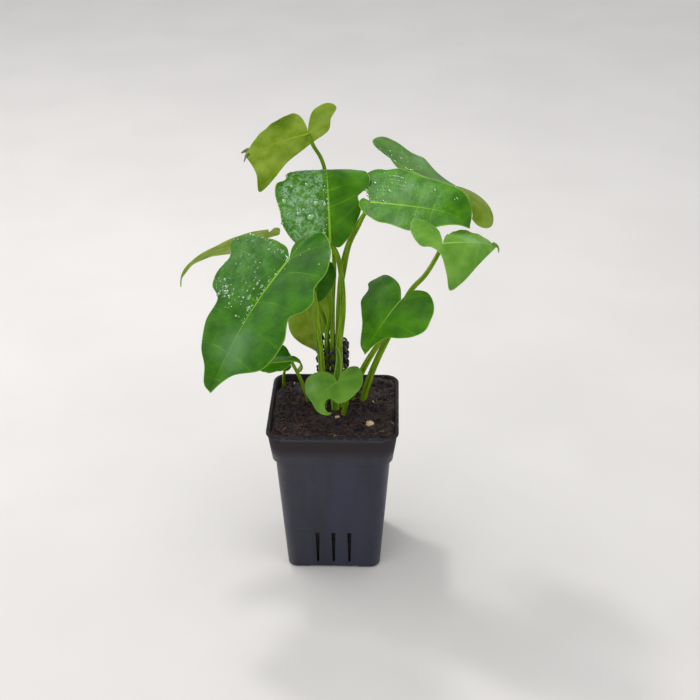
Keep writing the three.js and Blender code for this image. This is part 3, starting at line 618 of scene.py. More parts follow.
def stalk_finish(name, dark, bright, edge_colour):
    """A fleshy stalk: long streaks, small pale flecks and a soft gloss."""
    material, tree, shader = new_material(name)
    flat = layer(tree, "flat", "Vector")
    streaks = cloud(tree, stretched(tree, flat, (1.0, 0.06, 1.0)), 0.9, 4.0)
    flecks = cloud(tree, stretched(tree, flat, (1.0, 0.35, 1.0)), 1.6, 2.0)
    colour = tint(tree, tuple(dark), tuple(bright), streaks, 0.3, 0.7)
    colour = tint(tree, colour, tuple(edge_colour), flecks, 0.62, 0.74, 0.0, 0.4)
    colour = tint(tree, colour, tuple(edge_colour), layer(tree, "edge"), 0.0, 1.0, 0.75, 0.0)
    dress(tree, shader, colour, 0.4, raise_surface(tree, streaks, 0.0002), BLADE_GLOSS)
    return material


def pot_finish(settings):
    """Moulded plastic: near-black slate, faint flow streaks, scuffs, a painted highlight along its
    edges, and surfaces inside the rim and on its top darkened to the soil's colour.
    """
    material, tree, shader = new_material("pot_plastic")
    place = object_place(tree)
    streaks = cloud(tree, stretched(tree, place, (60, 60, 9)), 1.0, 5.0)
    scuffs = cloud(tree, stretched(tree, place, (30, 30, 240)), 1.0, 6.0, 0.7)
    pointed = add(tree, "NewGeometry").outputs["Pointiness"]
    dust_and_highlight = scaled(settings.bright, 3.2, 0.02)
    colour = tint(tree, tuple(settings.dark), tuple(settings.bright), streaks, 0.3, 0.75)
    colour = tint(tree, colour, dust_and_highlight, scuffs, 0.6, 0.78, 0.0, 0.35)
    # Painted highlight: the pointed edges are lightened towards the pale colour.
    colour = tint(tree, colour, dust_and_highlight, pointed, 0.52, 0.6, 0.0, 0.3)

    # Surfaces inside the line of the rim's inner wall are darkened to the soil's colour from 100
    # mm up, fully from 118 mm, and the top of the rim is partly darkened to it, in patches.
    x, y, z = add(tree, "SeparateXYZ", {"Vector": place}).outputs
    reach = maths(tree, "MAXIMUM", maths(tree, "ABSOLUTE", x), maths(tree, "ABSOLUTE", y))
    inner = maths(tree, "MULTIPLY", spread(tree, reach, 0.0486, 0.0492, 0.95, 0.0),
                  spread(tree, z, 0.1, 0.118))
    top = maths(tree, "MULTIPLY", spread(tree, z, 0.1262, 0.1272),
                spread(tree, cloud(tree, place, 260.0, 4.0), 0.36, 0.5, 0.4, 1.0))
    soil_coloured = maths(tree, "MAXIMUM", inner, top)
    colour = blend_colour(tree, soil_coloured, colour, rgb(34, 25, 28))
    rough = maths(tree, "MAXIMUM", spread(tree, streaks, 0.3, 0.8, 0.34, 0.5),
                  maths(tree, "MULTIPLY", soil_coloured, 0.95))
    bump = raise_surface(tree, cloud(tree, place, 900.0, 2.0), 0.00006)
    bump = raise_surface(tree, cloud(tree, place, 55.0, 2.0), 0.0009, bump)
    dress(tree, shader, colour, rough, bump)
    return material


def soil_finish(name, dark, bright, fleck, scale=1.0):
    """Damp peat: nearly black with brown fibres and a few pale flecks."""
    material, tree, shader = new_material(name)
    place = object_place(tree)
    clods = cloud(tree, place, 160.0 * scale, 6.0, 0.65)
    colour = tint(tree, tuple(dark), tuple(bright), clods, 0.35, 0.7)
    rare = maths(tree, "MULTIPLY", spread(tree, cells(tree, place, 520.0 * scale),
                                          0.0, 0.22, 1.0, 0.0),
                 spread(tree, cloud(tree, place, 210.0, 2.0), 0.58, 0.66))
    colour = blend_colour(tree, rare, colour, tuple(fleck))
    bump = raise_surface(tree, cloud(tree, place, 900.0 * scale, 4.0, 0.7), 0.0006)
    bump = raise_surface(tree, clods, 0.0012, bump)
    dress(tree, shader, colour, 0.85, bump)
    return material


def stone_finish(name, dark, bright):
    """A dry clay pellet or chip: blotched, pitted and dull."""
    material, tree, shader = new_material(name)
    place = object_place(tree)
    pits = cells(tree, place, 1300.0)
    colour = tint(tree, dark, bright, cloud(tree, place, 420.0, 5.0, 0.6), 0.35, 0.65)
    colour = tint(tree, colour, scaled(dark, 0.4), pits, 0.0, 0.25, 0.5, 0.0)
    dress(tree, shader, colour, 0.9, raise_surface(tree, pits, 0.0003))
    return material


def cord_finish(settings):
    """Soft black coating with grey patches in a random cloud, partly dusty and partly a painted
    highlight.
    """
    material, tree, shader = new_material("cord_coating")
    place = object_place(tree)
    # Grey patches, partly dusty and partly a painted highlight.
    dust_and_shine = cloud(tree, place, 260.0, 4.0)
    colour = tint(tree, tuple(settings.dark), tuple(settings.bright), dust_and_shine, 0.4, 0.75)
    dress(tree, shader, colour, spread(tree, dust_and_shine, 0.3, 0.7, 0.3, 0.55),
          raise_surface(tree, cloud(tree, place, 1500.0, 2.0), 0.00008))
    return material


def water_finish():
    """Clear water with painted light: a drop is painted dark on the side that the light comes
    from and bright opposite.
    """
    material, tree, shader = new_material("water")
    facing = add(tree, "VectorMath", {0: add(tree, "NewGeometry").outputs["Normal"],
                                      1: (0.5, -0.75, -0.1)}, operation="DOT_PRODUCT").outputs[1]
    # Painted shading by the direction that each point of the drop faces.
    colour = tint(tree, rgb(14, 62, 4), rgb(150, 205, 120), facing, -0.35, 0.8)
    feed(tree, shader, "Base Color", colour)
    for key, value in (("Roughness", 0.03), ("IOR", 1.45), ("Specular IOR Level", 1.0),
                       ("Alpha", 0.8)):
        shader.inputs[key].default_value = value
    return material


def glint_finish():
    """A painted highlight: the bright spot that a drop shows where it mirrors the room's light,
    lit from within by a faint emission.
    """
    material, tree, shader = new_material("water_glint")
    colour = blend_colour(tree, cloud(tree, object_place(tree), 900.0, 1.0),
                          rgb(212, 232, 212), rgb(255, 255, 255))
    for key, value in (("Base Color", colour), ("Emission Color", colour),
                       ("Emission Strength", 0.35), ("Roughness", 0.1)):
        feed(tree, shader, key, value)
    return material


# ---------------------------------------------------------------- blade surface

def leaf_axes(leaf):
    """Directions at the joint: along the midrib, across to its right, and up from its face."""
    heading, rise, roll = (math.radians(leaf[k]) for k in ("heading", "rise", "roll"))
    along = np.array([math.cos(rise) * math.cos(heading), math.cos(rise) * math.sin(heading),
                      math.sin(rise)])
    level = np.array([0, 0, 1.0]) - along * along[2]
    level /= np.linalg.norm(level)
    side = np.cross(along, level)
    across = side * math.cos(roll) + level * math.sin(roll)
    up = level * math.cos(roll) - side * math.sin(roll)
    return along, across, up


def bend_at(leaf, w):
    """How far the midrib has turned down at distances along it."""
    share = w / leaf["length"]
    late = np.clip((share - leaf["curl_from"]) / (1 - leaf["curl_from"]), 0, None)
    ahead = math.radians(leaf["droop"]) * share + math.radians(leaf["curl"]) * late ** 2
    return np.where(w < 0, math.radians(leaf["back"]) * w / leaf["basal"], ahead)


def leaf_surface(leaf, u, w):
    """Points in millimetres and directions up from the blade, for flat places across and along."""
    along, across, up = leaf_axes(leaf)
    track = np.linspace(-45, leaf["length"] + 5, 1201)
    step = track[1] - track[0]
    bends = bend_at(leaf, track + step / 2)
    ahead = np.r_[0, np.cumsum(np.cos(bends) * step)][:-1]
    down = np.r_[0, np.cumsum(np.sin(bends) * step)][:-1]
    ahead -= np.interp(0, track, ahead)
    down -= np.interp(0, track, down)
    middle = (np.array(leaf["joint"], float) + np.interp(w, track, ahead)[..., None] * along
              - np.interp(w, track, down)[..., None] * up)
    bend = bend_at(leaf, w)[..., None]
    flat_up = up * np.cos(bend) + along * np.sin(bend)
    turn = math.radians(leaf["twist"]) * np.clip(w, 0, None)[..., None] / leaf["length"]
    out = across * np.cos(turn) + flat_up * np.sin(turn)
    rise = flat_up * np.cos(turn) - across * np.sin(turn)
    fade = np.clip((w + 6) / leaf["fold_in"], 0, 1) if leaf["fold_in"] else np.ones_like(w)
    right = u > 0
    fold = np.radians(np.where(right, leaf["fold"][1], leaf["fold"][0])) * fade
    cup = np.where(right, leaf["cup"][1] or 1e-4, leaf["cup"][0] or 1e-4)
    bow = np.radians(cup) / leaf["half"]
    angle = fold + bow * np.abs(u)
    sideways = np.sign(u) * (np.sin(angle) - np.sin(fold)) / bow
    lift = (np.cos(fold) - np.cos(angle)) / bow
    point = middle + out * sideways[..., None] + rise * lift[..., None]
    normal = (rise * np.cos(angle)[..., None]
              - out * (np.where(right, 1.0, -1.0) * np.sin(angle))[..., None])
    return point, normal


def rib_line(leaf):
    """The midrib laid flat, in close steps of (share of the edge, across, along)."""
    straight = [(leaf["root_from"], 0, 0), (1, 0, leaf["length"])]
    return smooth_line(leaf.get("rib", straight), 300)


def tip_of(leaf):
    """The flat place of the leaf's tip."""
    return leaf["rib"][-1][1:] if "rib" in leaf else (0, leaf["length"])


def rib_reach(leaf, places):
    """Distance of flat places from the midrib."""
    if "rib" in leaf:
        line = rib_line(leaf)[:, 1:]
        return np.linalg.norm(places[..., None, :] - line, axis=-1).min(-1)
    behind = places[..., 1] < 0
    return np.where(behind, np.linalg.norm(places, axis=-1), np.abs(places[..., 0]))


def glow_at(leaf, places):
    """The painted light at flat places: positive for a painted sheen, negative for painted shade.
    """
    total = np.zeros(places.shape[:-1])
    for u, w, reach, amount in leaf["glow"]:
        apart = (places[..., 0] - u) ** 2 + (places[..., 1] - w) ** 2
        total += amount * np.exp(-apart / reach ** 2)
    return total


def half_layout(leaf, side, rows, columns):
    """One half of a blade laid flat.

    Gives places (row, column, 2), each row's share of the edge, how far its places reach from
    the midrib to the edge, its span, and the edge's length.
    """
    fine = smooth_line([(0, 0), *leaf[side], tip_of(leaf)], 1600)
    long = line_length(fine)
    shares = NOTCH_SHARE + (1 - NOTCH_SHARE) * np.arange(rows + 1) / rows
    rim = np.stack([np.interp(shares, np.linspace(0, 1, 1601), fine[:, k]) for k in (0, 1)], 1)
    line = rib_line(leaf)
    root = np.stack([np.interp(shares, line[:, 0], line[:, k]) for k in (1, 2)], 1)
    span = np.linalg.norm(rim - root, axis=1)
    squeeze = np.minimum(1, span / 16)[:, None]
    near = NEAR_RIB * squeeze
    far = span[:, None] - NEAR_EDGE * squeeze
    between = np.linspace(0, 1, columns + 2)[1:-1]
    middle = near[:, -1:] + (far[:, :1] - near[:, -1:]) * between
    reach = np.hstack([near, middle, far, span[:, None]]) / np.maximum(span, 1e-9)[:, None]
    places = root[:, None] + (rim - root)[:, None] * reach[..., None]

    # The rows sag towards the leaf's base, as side veins do.
    way = (rim - root) / np.maximum(span, 1e-9)[:, None]
    turn = 1 if side == "right" else -1
    base = np.stack([way[:, 1] * turn, -way[:, 0] * turn], 1)
    ease = np.clip((shares - 0.04) / 0.2, 0, 1) * np.clip((1 - shares) / 0.15, 0, 1)
    sag = 0.05 * (ease * span)[:, None] * 4 * reach * (1 - reach)
    places += base[:, None] * sag[..., None]
    return places, shares, reach, span, long


def dew_at(name, side, shares, reach):
    """How strongly the painted pale sheen of spray lies on the blade: the strength that WET gives
    within its stretches, easing out around them.
    """
    total = np.zeros_like(reach)
    for leaf_name, _, (low, high), (near, far), wet_side, sheen_film in WET:
        if (leaf_name, wet_side) == (name, side):
            rows = np.clip((shares - low) / 0.06, 0, 1) * np.clip((high - shares) / 0.08, 0, 1)
            columns = np.clip((reach - near) / 0.1, 0, 1) * np.clip((far - reach) / 0.1, 0, 1)
            total = np.maximum(total, sheen_film * rows[:, None] * columns)
    return total


def leaf_layout(name, leaf, settings):
    """The blade's grid: flat places, layers for its finish, and its two faces in millimetres."""
    edges = {side: line_length(smooth_line([(0, 0), *leaf[side], tip_of(leaf)], 200))
             for side in ("left", "right")}
    longest = max(edges.values())
    rows = int(np.clip(round(longest / settings.row_step), 24, 190))
    columns = int(np.clip(round(longest / 22), 5, 12))
    halves = {}
    for side in ("left", "right"):
        places, shares, reach, span, long = half_layout(leaf, side, rows, columns)
        size = 0.5 + leaf["length"] / 170
        along = np.clip(places[..., 1] / leaf["length"], 0, 1)
        rib_width = size * (1.05 - 0.85 * along ** 0.7)
        rib = rib_reach(leaf, places) / rib_width

        # Side veins lie on whole rows, so that the mesh follows them.
        vein_rows = vein_rows_of(leaf, shares)
        nearest = np.abs(np.arange(rows + 1)[:, None] - vein_rows[None]).argmin(1)
        vein_line = places[vein_rows[nearest]]
        way = np.gradient(vein_line, axis=1)
        way /= np.maximum(np.linalg.norm(way, axis=-1), 1e-9)[..., None]
        apart = places - vein_line
        gap = np.abs(apart[..., 0] * way[..., 1] - apart[..., 1] * way[..., 0])
        gap = np.where(np.linalg.norm(apart, axis=-1) < 1e-6, 0, gap)
        vein_width = (0.55 - 0.33 * reach) * size
        distance = span[:, None] * (1 - reach)
        strand = shares[:, None] * long * np.ones_like(reach)
        halves[side] = dict(places=places, rib=rib + leaf["faint"], gap=gap,
                            vein=gap / vein_width + leaf["faint"],
                            edge=distance + 0.8 * leaf["faint"], strand=strand, reach=reach,
                            along=along, rib_width=rib_width,
                            shares=shares[:, None] * np.ones_like(reach),
                            glow=glow_at(leaf, places), dew=dew_at(name, side, shares, reach))

    def joined(key):
        left, right = halves["left"][key], halves["right"][key]
        return np.concatenate([left[:, ::-1], right[:, 1:]], axis=1)

    data = {key: joined(key) for key in halves["left"]}
    u, w = data["places"][..., 0], data["places"][..., 1]
    point, normal = leaf_surface(leaf, u, w)

    # The blade swells between its side veins, sinks along them, and sways along its edge.
    rng = random.Random("wave" + str(leaf["joint"]))
    bulge = 1 - np.exp(-(data["gap"] / 6.5) ** 2)
    calm = np.clip(data["edge"] / 5, 0, 1) * np.clip(np.abs(u) / 6, 0, 1)
    relief = leaf["quilt"] * settings.quilting * bulge * calm
    relief -= 0.12 * np.exp(-(data["vein"] / 1.2) ** 2) * (1 - data["reach"])
    sway = np.zeros_like(relief)
    for waves in (3, 5, 8):
        sway += np.sin(2 * math.pi * waves * data["shares"] + rng.uniform(0, 6)) / waves ** 0.5
    ramp = np.clip(1 - data["edge"] / 18, 0, 1) ** 2 * np.clip(data["reach"] * 2 - 0.6, 0, 1)
    relief += leaf["wave"] * sway * ramp

    # It thins towards its edge, and its veins stand out below more than above.
    thick = settings.thickness / MM / 2 * (0.35 + 0.65 * np.clip(data["edge"] / 2.5, 0, 1) ** 0.6)
    crown = np.sqrt(np.clip(1 - data["rib"] ** 2, 0, 1))
    above = relief + thick + 0.22 * crown
    below = relief - thick - 0.85 * data["rib_width"] * crown
    off_rib = np.clip(data["rib"] - 1, 0, 1)
    below -= 0.25 * np.exp(-data["vein"] ** 2) * (1 - data["reach"]) * off_rib
    data["upper"] = point + normal * above[..., None]
    data["lower"] = point + normal * below[..., None]
    data["normal"] = normal
    return data


def vein_rows_of(leaf, shares):
    """Rows that carry side veins: two fan into the back lobe, the rest leave the midrib."""
    back = [0.42 * leaf["root_from"], 0.85 * leaf["root_from"]]
    count = leaf["veins"]
    first, last = leaf["root_from"] + 0.09, 0.93
    ahead = [first + (last - first) * (i / max(count - 1, 1)) ** 0.92 for i in range(count)]
    wanted = np.array(back + ahead)
    return np.abs(shares[:, None] - wanted[None]).argmin(0)


def make_blade(name, leaf, settings):
    """Bends a grid into the blade's underside and extrudes the upper face from it."""
    data = leaf_layout(name, leaf, settings)
    row_count, column_count = data["rib"].shape
    bm = bmesh.new()
    number = bm.verts.layers.int.new("place")
    layers = {key: bm.verts.layers.float.new(key)
              for key in ("rib", "vein", "edge", "strand", "along", "glow", "dew")}
    flat = bm.verts.layers.float_vector.new("flat")
    grid = bmesh.ops.create_grid(bm, x_segments=column_count - 1, y_segments=row_count - 1,
                                 size=1)["verts"]
    lower = data["lower"].reshape(-1, 3) * MM
    upper = data["upper"].reshape(-1, 3) * MM
    places = data["places"].reshape(-1, 2)
    values = {key: data[key].reshape(-1) for key in layers}
    for vert in grid:
        column = round((vert.co.x + 1) / 2 * (column_count - 1))
        row = round((vert.co.y + 1) / 2 * (row_count - 1))
        index = row * column_count + column
        vert[number] = index
        vert[flat] = (*places[index], 0)
        for key, value_layer in layers.items():
            vert[value_layer] = values[key][index]
        vert.co = lower[index]
    bmesh.ops.remove_doubles(bm, verts=bm.verts, dist=2e-7)
    for face in bm.faces:
        face.material_index = 1
    made = bmesh.ops.extrude_face_region(bm, geom=list(bm.faces))["geom"]
    fresh = [g for g in made if isinstance(g, bmesh.types.BMVert)]
    for vert in fresh:
        vert.co = upper[vert[number]]
    fresh = set(fresh)
    for face in bm.faces:
        face.material_index = 0 if any(v in fresh for v in face.verts) else 1
    bm.verts.layers.int.remove(bm.verts.layers.int["place"])
    bmesh.ops.dissolve_degenerate(bm, dist=1e-7, edges=bm.edges)
    bmesh.ops.recalc_face_normals(bm, faces=bm.faces)
    return finish_piece("leaf_" + name, bm, blade_finishes(leaf), ["blade_" + name])


def make_tip_curls():
    """Thin curled ends beyond the tips of the top and the right-hand blade."""
    bm = bmesh.new()
    for kind, reach, points in TIP_CURLS:
        path = smooth_line(points, 9)
        radii = np.interp(np.linspace(0, 3, 10), range(4), reach)
        loft(bm, tube_rings(path, radii, 8), material=0 if kind == "dry_tip" else 1)
    finishes = [stone_finish("dry_tip", rgb(70, 82, 60), rgb(110, 122, 92)),
                stone_finish("green_tip", rgb(84, 118, 30), rgb(120, 150, 48))]
    return finish_piece("leaf_tips", bm, finishes)


# ---------------------------------------------------------------- stalks

def stalk_path(leaf):
    """The stalk's middle line from under the soil to the back of the blade, in millimetres."""
    x, y, _ = leaf["stalk"][0]
    points = [(x, y, SOIL_TOP - ROOT_DEPTH), *leaf["stalk"]]
    _, normal = leaf_surface(leaf, np.array([0.0]), np.array([0.6]))
    up = normal[0]
    joint = np.array(leaf["joint"], float)
    way = joint - np.array(points[-1])
    way /= np.linalg.norm(way)
    lean = math.sqrt(max(0.0, 1 - way.dot(up) ** 2))
    points.append(tuple(joint - up * (JOINT_DROP + leaf["radius"][1] * lean)))
    return smooth_line(points, max(24, round(line_length(points) / 2.4)))


def make_stalk(name, leaf, settings):
    """A fleshy stalk with a shallow groove, a wider foot and a swelling under the blade."""
    path = stalk_path(leaf)
    steps = np.linspace(0, 1, len(path))
    travel = steps * line_length(path)
    start, end = leaf["radius"]
    radii = start + (end - start) * steps ** 0.8
    radii *= 1 + settings.foot_swelling * np.exp(-((travel - ROOT_DEPTH) / 11).clip(0) ** 2)
    radii *= 1 + 0.1 * np.exp(-((travel[-1] - travel) / 6) ** 2)
    turned = leaf["groove"]

    def groove(turns, share):
        away = np.angle(np.exp(1j * (turns - turned)))
        ribs = 0.03 * np.cos(3 * turns + 4 * share)
        return 1 - GROOVE_DEPTH * np.exp(-(away / GROOVE_WIDTH) ** 2) + ribs

    bm = bmesh.new()
    rings = tube_rings(path, radii, settings.sides, groove)
    loft(bm, rings)
    add_stalk_layers(bm, path, rings, lambda turn: 0.35 + 2.4 * abs(
        abs(math.remainder(turn - turned, 2 * math.pi)) - 0.62))
    return finish_piece("petiole_" + name, bm, [bpy.data.materials["stalk_flesh"]],
                        ["stalk_" + name])


def add_stalk_layers(bm, path, rings, edge_reach):
    """Gives the stalk's finish its layers: distance round and along, and distance to an edge."""
    flat = bm.verts.layers.float_vector.new("flat")
    edge = bm.verts.layers.float.new("edge")
    sides = len(rings[0])
    bm.verts.ensure_lookup_table()
    step = line_length(path) / (len(path) - 1)
    for i, vert in enumerate(bm.verts):
        row, side = divmod(i, sides)
        turn = 2 * math.pi * side / sides
        vert[flat] = (2.5 * math.cos(turn) + rings[0][0][0] * 9e3, row * step,
                      2.5 * math.sin(turn))
        vert[edge] = edge_reach(turn)


def make_sheath():
    """The sheath leaf: a thin keeled blade rolled round its stalk, with pale margins."""
    x, y, _ = SHEATH["stalk"][0]
    points = [(x, y, SOIL_TOP - ROOT_DEPTH), *SHEATH["stalk"]]
    path = smooth_line(points, 30)
    steps = np.linspace(0, 1, len(path))
    start, end = SHEATH["radius"]
    radii = start + (end - start) * steps ** 5

    def flattened(turns, share):
        return np.sqrt((1.25 * np.cos(turns)) ** 2 + (0.72 * np.sin(turns)) ** 2)

    bm = bmesh.new()
    rings = tube_rings(path, radii, 16, flattened)
    loft(bm, rings)
    add_stalk_layers(bm, path, rings, lambda turn: 1.5 * abs(math.sin(turn)) - 0.1)
    return finish_piece("sheath_leaf_blade", bm, [bpy.data.materials["sheath_flesh"]],
                        ["sheath_leaf"])


# ---------------------------------------------------------------- pot and soil

def copy_of_node(node):
    """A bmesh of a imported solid, with its corners joined."""
    bm = bmesh.new()
    bm.from_mesh(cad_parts[node].data)
    bmesh.ops.remove_doubles(bm, verts=bm.verts, dist=1e-6)
    return bm


def make_pot(settings):
    """The pot's solid with its flat faces whole, its edges rounded and its corners smooth."""
    bm = copy_of_node("pot")
    bmesh.ops.dissolve_limit(bm, angle_limit=math.radians(0.5), verts=bm.verts, edges=bm.edges,
                             delimit=set())
    sharp = [e for e in bm.edges if len(e.link_faces) == 2
             and e.calc_face_angle(0) > SHARP_ANGLE]
    bmesh.ops.bevel(bm, geom=sharp, offset=settings.edge_radius, offset_type="OFFSET",
                    segments=2, profile=0.5, affect="EDGES", clamp_overlap=True, material=-1)
    bmesh.ops.triangulate(bm, faces=[f for f in bm.faces if len(f.verts) > 4])
    for edge in bm.edges:
        edge.smooth = edge.calc_face_angle(0) < SHARP_ANGLE
    return finish_piece("pot_shell", bm, [pot_finish(settings)], ["pot"])


def soil_height(x, y):
    """The soil's surface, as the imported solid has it: broad humps and clods."""
    humps = 1.1 * math.sin(x / 9 + 1) * math.cos(y / 11) + 0.7 * math.sin((x + y) / 5.5)
    clods = 0.55 * math.sin(x * 1.1 + 2 * math.sin(y / 3)) * math.sin(y * 0.9 + 1)
    edge = max(abs(x), abs(y)) / 50
    return SOIL_TOP + humps + clods - 2.2 * edge ** 6


def bank_height(x, y):
    """How far the soil is heaped against the walls, less in the back left corner."""
    def near(value):
        share = min(1.0, max(0.0, (value - 33) / 12))
        return share * share * (3 - 2 * share)
    hollow = near(20 - x) * near(y + 8) if y > 0 else 0.0
    return max(4.8 * near(-y), 4.4 * near(x), 4.2 * near(-x), 4.2 * near(y)) * (1 - hollow)


def rough_height(x, y):
    """soil_height with crumbs on it, and heaped against the walls."""
    small = noise.fractal(Vector((x / 3.1, y / 3.1, 0)), 0.6, 2.1, 5)
    lumps = noise.noise(Vector((x / 7, y / 7, 4)))
    mound = max(rise * math.exp(-((x - mx) ** 2 + (y - my) ** 2) / reach ** 2)
                for mx, my, rise, reach in MOUNDS)
    return soil_height(x, y) + 1.1 * small + 0.9 * lumps + bank_height(x, y) + mound


def inside_reach(turn, half, corner):
    """Distance from the middle to a rounded square's edge in a direction."""
    c, s = abs(math.cos(turn)), abs(math.sin(turn))
    reach = half / max(c, s)
    inner = half - corner
    if min(c, s) * reach > inner:
        # The line meets the corner's arc.
        dot = (c + s) * inner
        reach = dot + math.sqrt(dot ** 2 - 2 * inner ** 2 + corner ** 2)
    return reach


def make_soil(settings):
    """A fine sheet of soil drawn in to the pot's wall, with its block extruded below it."""
    bm = bmesh.new()
    count = settings.cells
    half = 47.0
    bmesh.ops.create_grid(bm, x_segments=count, y_segments=count, size=1)
    for vert in bm.verts:
        square = max(abs(vert.co.x), abs(vert.co.y))
        turn = math.atan2(vert.co.y, vert.co.x)
        reach = inside_reach(turn, half, 9.5)
        full = inside_reach(turn, half, 0.001)
        pulled = 1 - (1 - reach / full) * square ** 6
        x, y = vert.co.x * half * pulled, vert.co.y * half * pulled
        vert.co = (x * MM, y * MM, rough_height(x, y) * MM)
    rim = [e for e in bm.edges if e.is_boundary]
    for height, width in SOIL_RINGS:
        fresh, rim, _ = extrude_rim(bm, rim)
        for vert in fresh:
            turn = math.atan2(vert.co.y, vert.co.x)
            reach = inside_reach(turn, (width - BOTH_WALLS) / 2, 8.0)
            vert.co = (reach * math.cos(turn) * MM, reach * math.sin(turn) * MM, height * MM)
    bmesh.ops.edgeloop_fill(bm, edges=rim)
    bmesh.ops.recalc_face_normals(bm, faces=bm.faces)
    soil_finish("peat", settings.dark, settings.bright, settings.fleck)
    return finish_piece("soil_bed", bm, [bpy.data.materials["peat"]], ["soil"])


def scatter(rng, reach=SOIL_REACH):
    """A random place on the soil."""
    while True:
        x, y = rng.uniform(-reach, reach), rng.uniform(-reach, reach)
        if math.hypot(x, y) < inside_reach(math.atan2(y, x), reach, 9):
            return x, y


def make_crumbs(settings):
    """Loose crumbs and chips lying on the soil."""
    rng = random.Random(11)

    def put(part, number):
        x, y = scatter(rng)
        size = rng.choice((0.5, 0.7, 0.9, 1.3, 1.9)) * rng.uniform(0.7, 1.2)
        made = bmesh.ops.create_icosphere(part, subdivisions=1 if size < 1.2 else 2, radius=1)
        turn = Matrix.Rotation(rng.uniform(0, 6.28), 4, Vector(
            (rng.uniform(-1, 1), rng.uniform(-1, 1), rng.uniform(-1, 1))))
        stretch = Matrix.Diagonal((size * rng.uniform(0.7, 1.6), size, size * 0.7, 1))
        place = Matrix.Translation((x, y, rough_height(x, y) + 0.2 * size))
        matrix = Matrix.Scale(MM, 4) @ place @ turn @ stretch
        for vert in made["verts"]:
            shift = 1 + 0.35 * noise.noise(vert.co * 1.7 + Vector((number, 0, 0)))
            vert.co = matrix @ (vert.co * shift)

    bm = bmesh.new()
    in_batches(bm, range(settings.crumbs), put)
    return finish_piece("soil_crumbs", bm, [bpy.data.materials["peat"]], smooth=False)


def make_fibres(settings):
    """Thin curved root fibres and twigs strewn over the soil."""
    rng = random.Random(5)

    def put(part, _):
        x, y = scatter(rng, 45)
        turn, long = rng.uniform(0, 6.28), rng.choice((4, 6, 9, 14)) * rng.uniform(0.7, 1.2)
        bend = rng.uniform(-0.25, 0.25)
        points = []
        for k in range(5):
            way = turn + bend * (k - 2)
            px = x + (k / 4 - 0.5) * long * math.cos(way)
            py = y + (k / 4 - 0.5) * long * math.sin(way)
            px, py = (max(-SOIL_REACH, min(SOIL_REACH, place)) for place in (px, py))
            points.append((px, py, rough_height(px, py) + 0.15 + rng.uniform(0, 0.9)))
        path = smooth_line(points, 6)
        radii = rng.choice((0.14, 0.2, 0.32)) * np.array([0.5, 0.9, 1, 1, 0.95, 0.8, 0.4])
        loft(part, tube_rings(path, radii, 4), material=rng.choice((0, 0, 1)))

    bm = bmesh.new()
    in_batches(bm, range(settings.fibres), put)
    finishes = [bpy.data.materials["fibre_red"], bpy.data.materials["fibre_pale"]]
    return finish_piece("soil_fibres", bm, finishes)


def make_bits():
    """A few pale chips and strips of bark on the soil."""
    bm = bmesh.new()
    for i, ((x, y), sizes, turn, kind) in enumerate(STRAY_BITS):
        made = bmesh.ops.create_icosphere(bm, subdivisions=2, radius=1)["verts"]
        place = Matrix.Translation((x, y, rough_height(x, y) + 0.6))
        matrix = (Matrix.Scale(MM, 4) @ place @ Matrix.Rotation(turn, 4, "Z")
                  @ Matrix.Diagonal((*sizes, 1)))
        for vert in made:
            shift = 1 + 0.3 * noise.noise(vert.co * 1.9 + Vector((7 * i, 3, 1)))
            vert.co = matrix @ (vert.co * shift)
        for face in {f for v in made for f in v.link_faces}:
            face.material_index = 0 if kind == "bark" else 1
    finishes = [bpy.data.materials["bark_chip"], bpy.data.materials["clay_pale"]]
    return finish_piece("soil_chips", bm, finishes)


def make_stone(node, radius):
    """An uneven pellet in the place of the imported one."""
    low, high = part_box(node)
    middle = (low + high) / 2
    bm = bmesh.new()
    bmesh.ops.create_icosphere(bm, subdivisions=3, radius=1)
    for vert in bm.verts:
        lump = noise.fractal(vert.co * 1.3 + Vector((radius, 2, 0)), 0.9, 2.0, 4)
        reach = radius * (0.94 + 0.1 * lump)
        vert.co = middle + Vector((vert.co.x, vert.co.y, 0.8 * vert.co.z)) * reach * MM
    return finish_piece(node + "_stone", bm, [bpy.data.materials["clay_pellet"]], [node])


# ---------------------------------------------------------------- coiled cord

def make_cord(settings):
    """A springy black cord: thin, curled on itself, and wound round the back stalks."""
    bm = bmesh.new()
    curl = settings.curl_radius / MM
    loops = settings.curls_per_turn * COIL["turns"]
    count = int(loops * CURL_STEPS)
    path = []
    for i in range(count + 1):
        turns = i / count * COIL["turns"]
        around = math.pi + 2 * math.pi * turns
        out = Vector((math.cos(around), math.sin(around), 0))
        way = Vector((-math.sin(around), math.cos(around), 0.12)).normalized()
        middle = Vector((*COIL["centre"], COIL["bottom"] + COIL["pitch"] * turns))
        spin = 2 * math.pi * loops * i / count
        side = out * math.cos(spin) + out.cross(way) * math.sin(spin)
        path.append(middle + out * COIL["radius"] + side * curl)
    path = np.array(path)
    radii = np.full(len(path), settings.thickness / MM / 2)
    radii[0] *= 0.6
    radii[-1] *= 0.6
    loft(bm, tube_rings(path, radii, CORD_SIDES))
    return finish_piece("coiled_cord", bm, [cord_finish(settings)], ["cord_coil"])


# ---------------------------------------------------------------- water

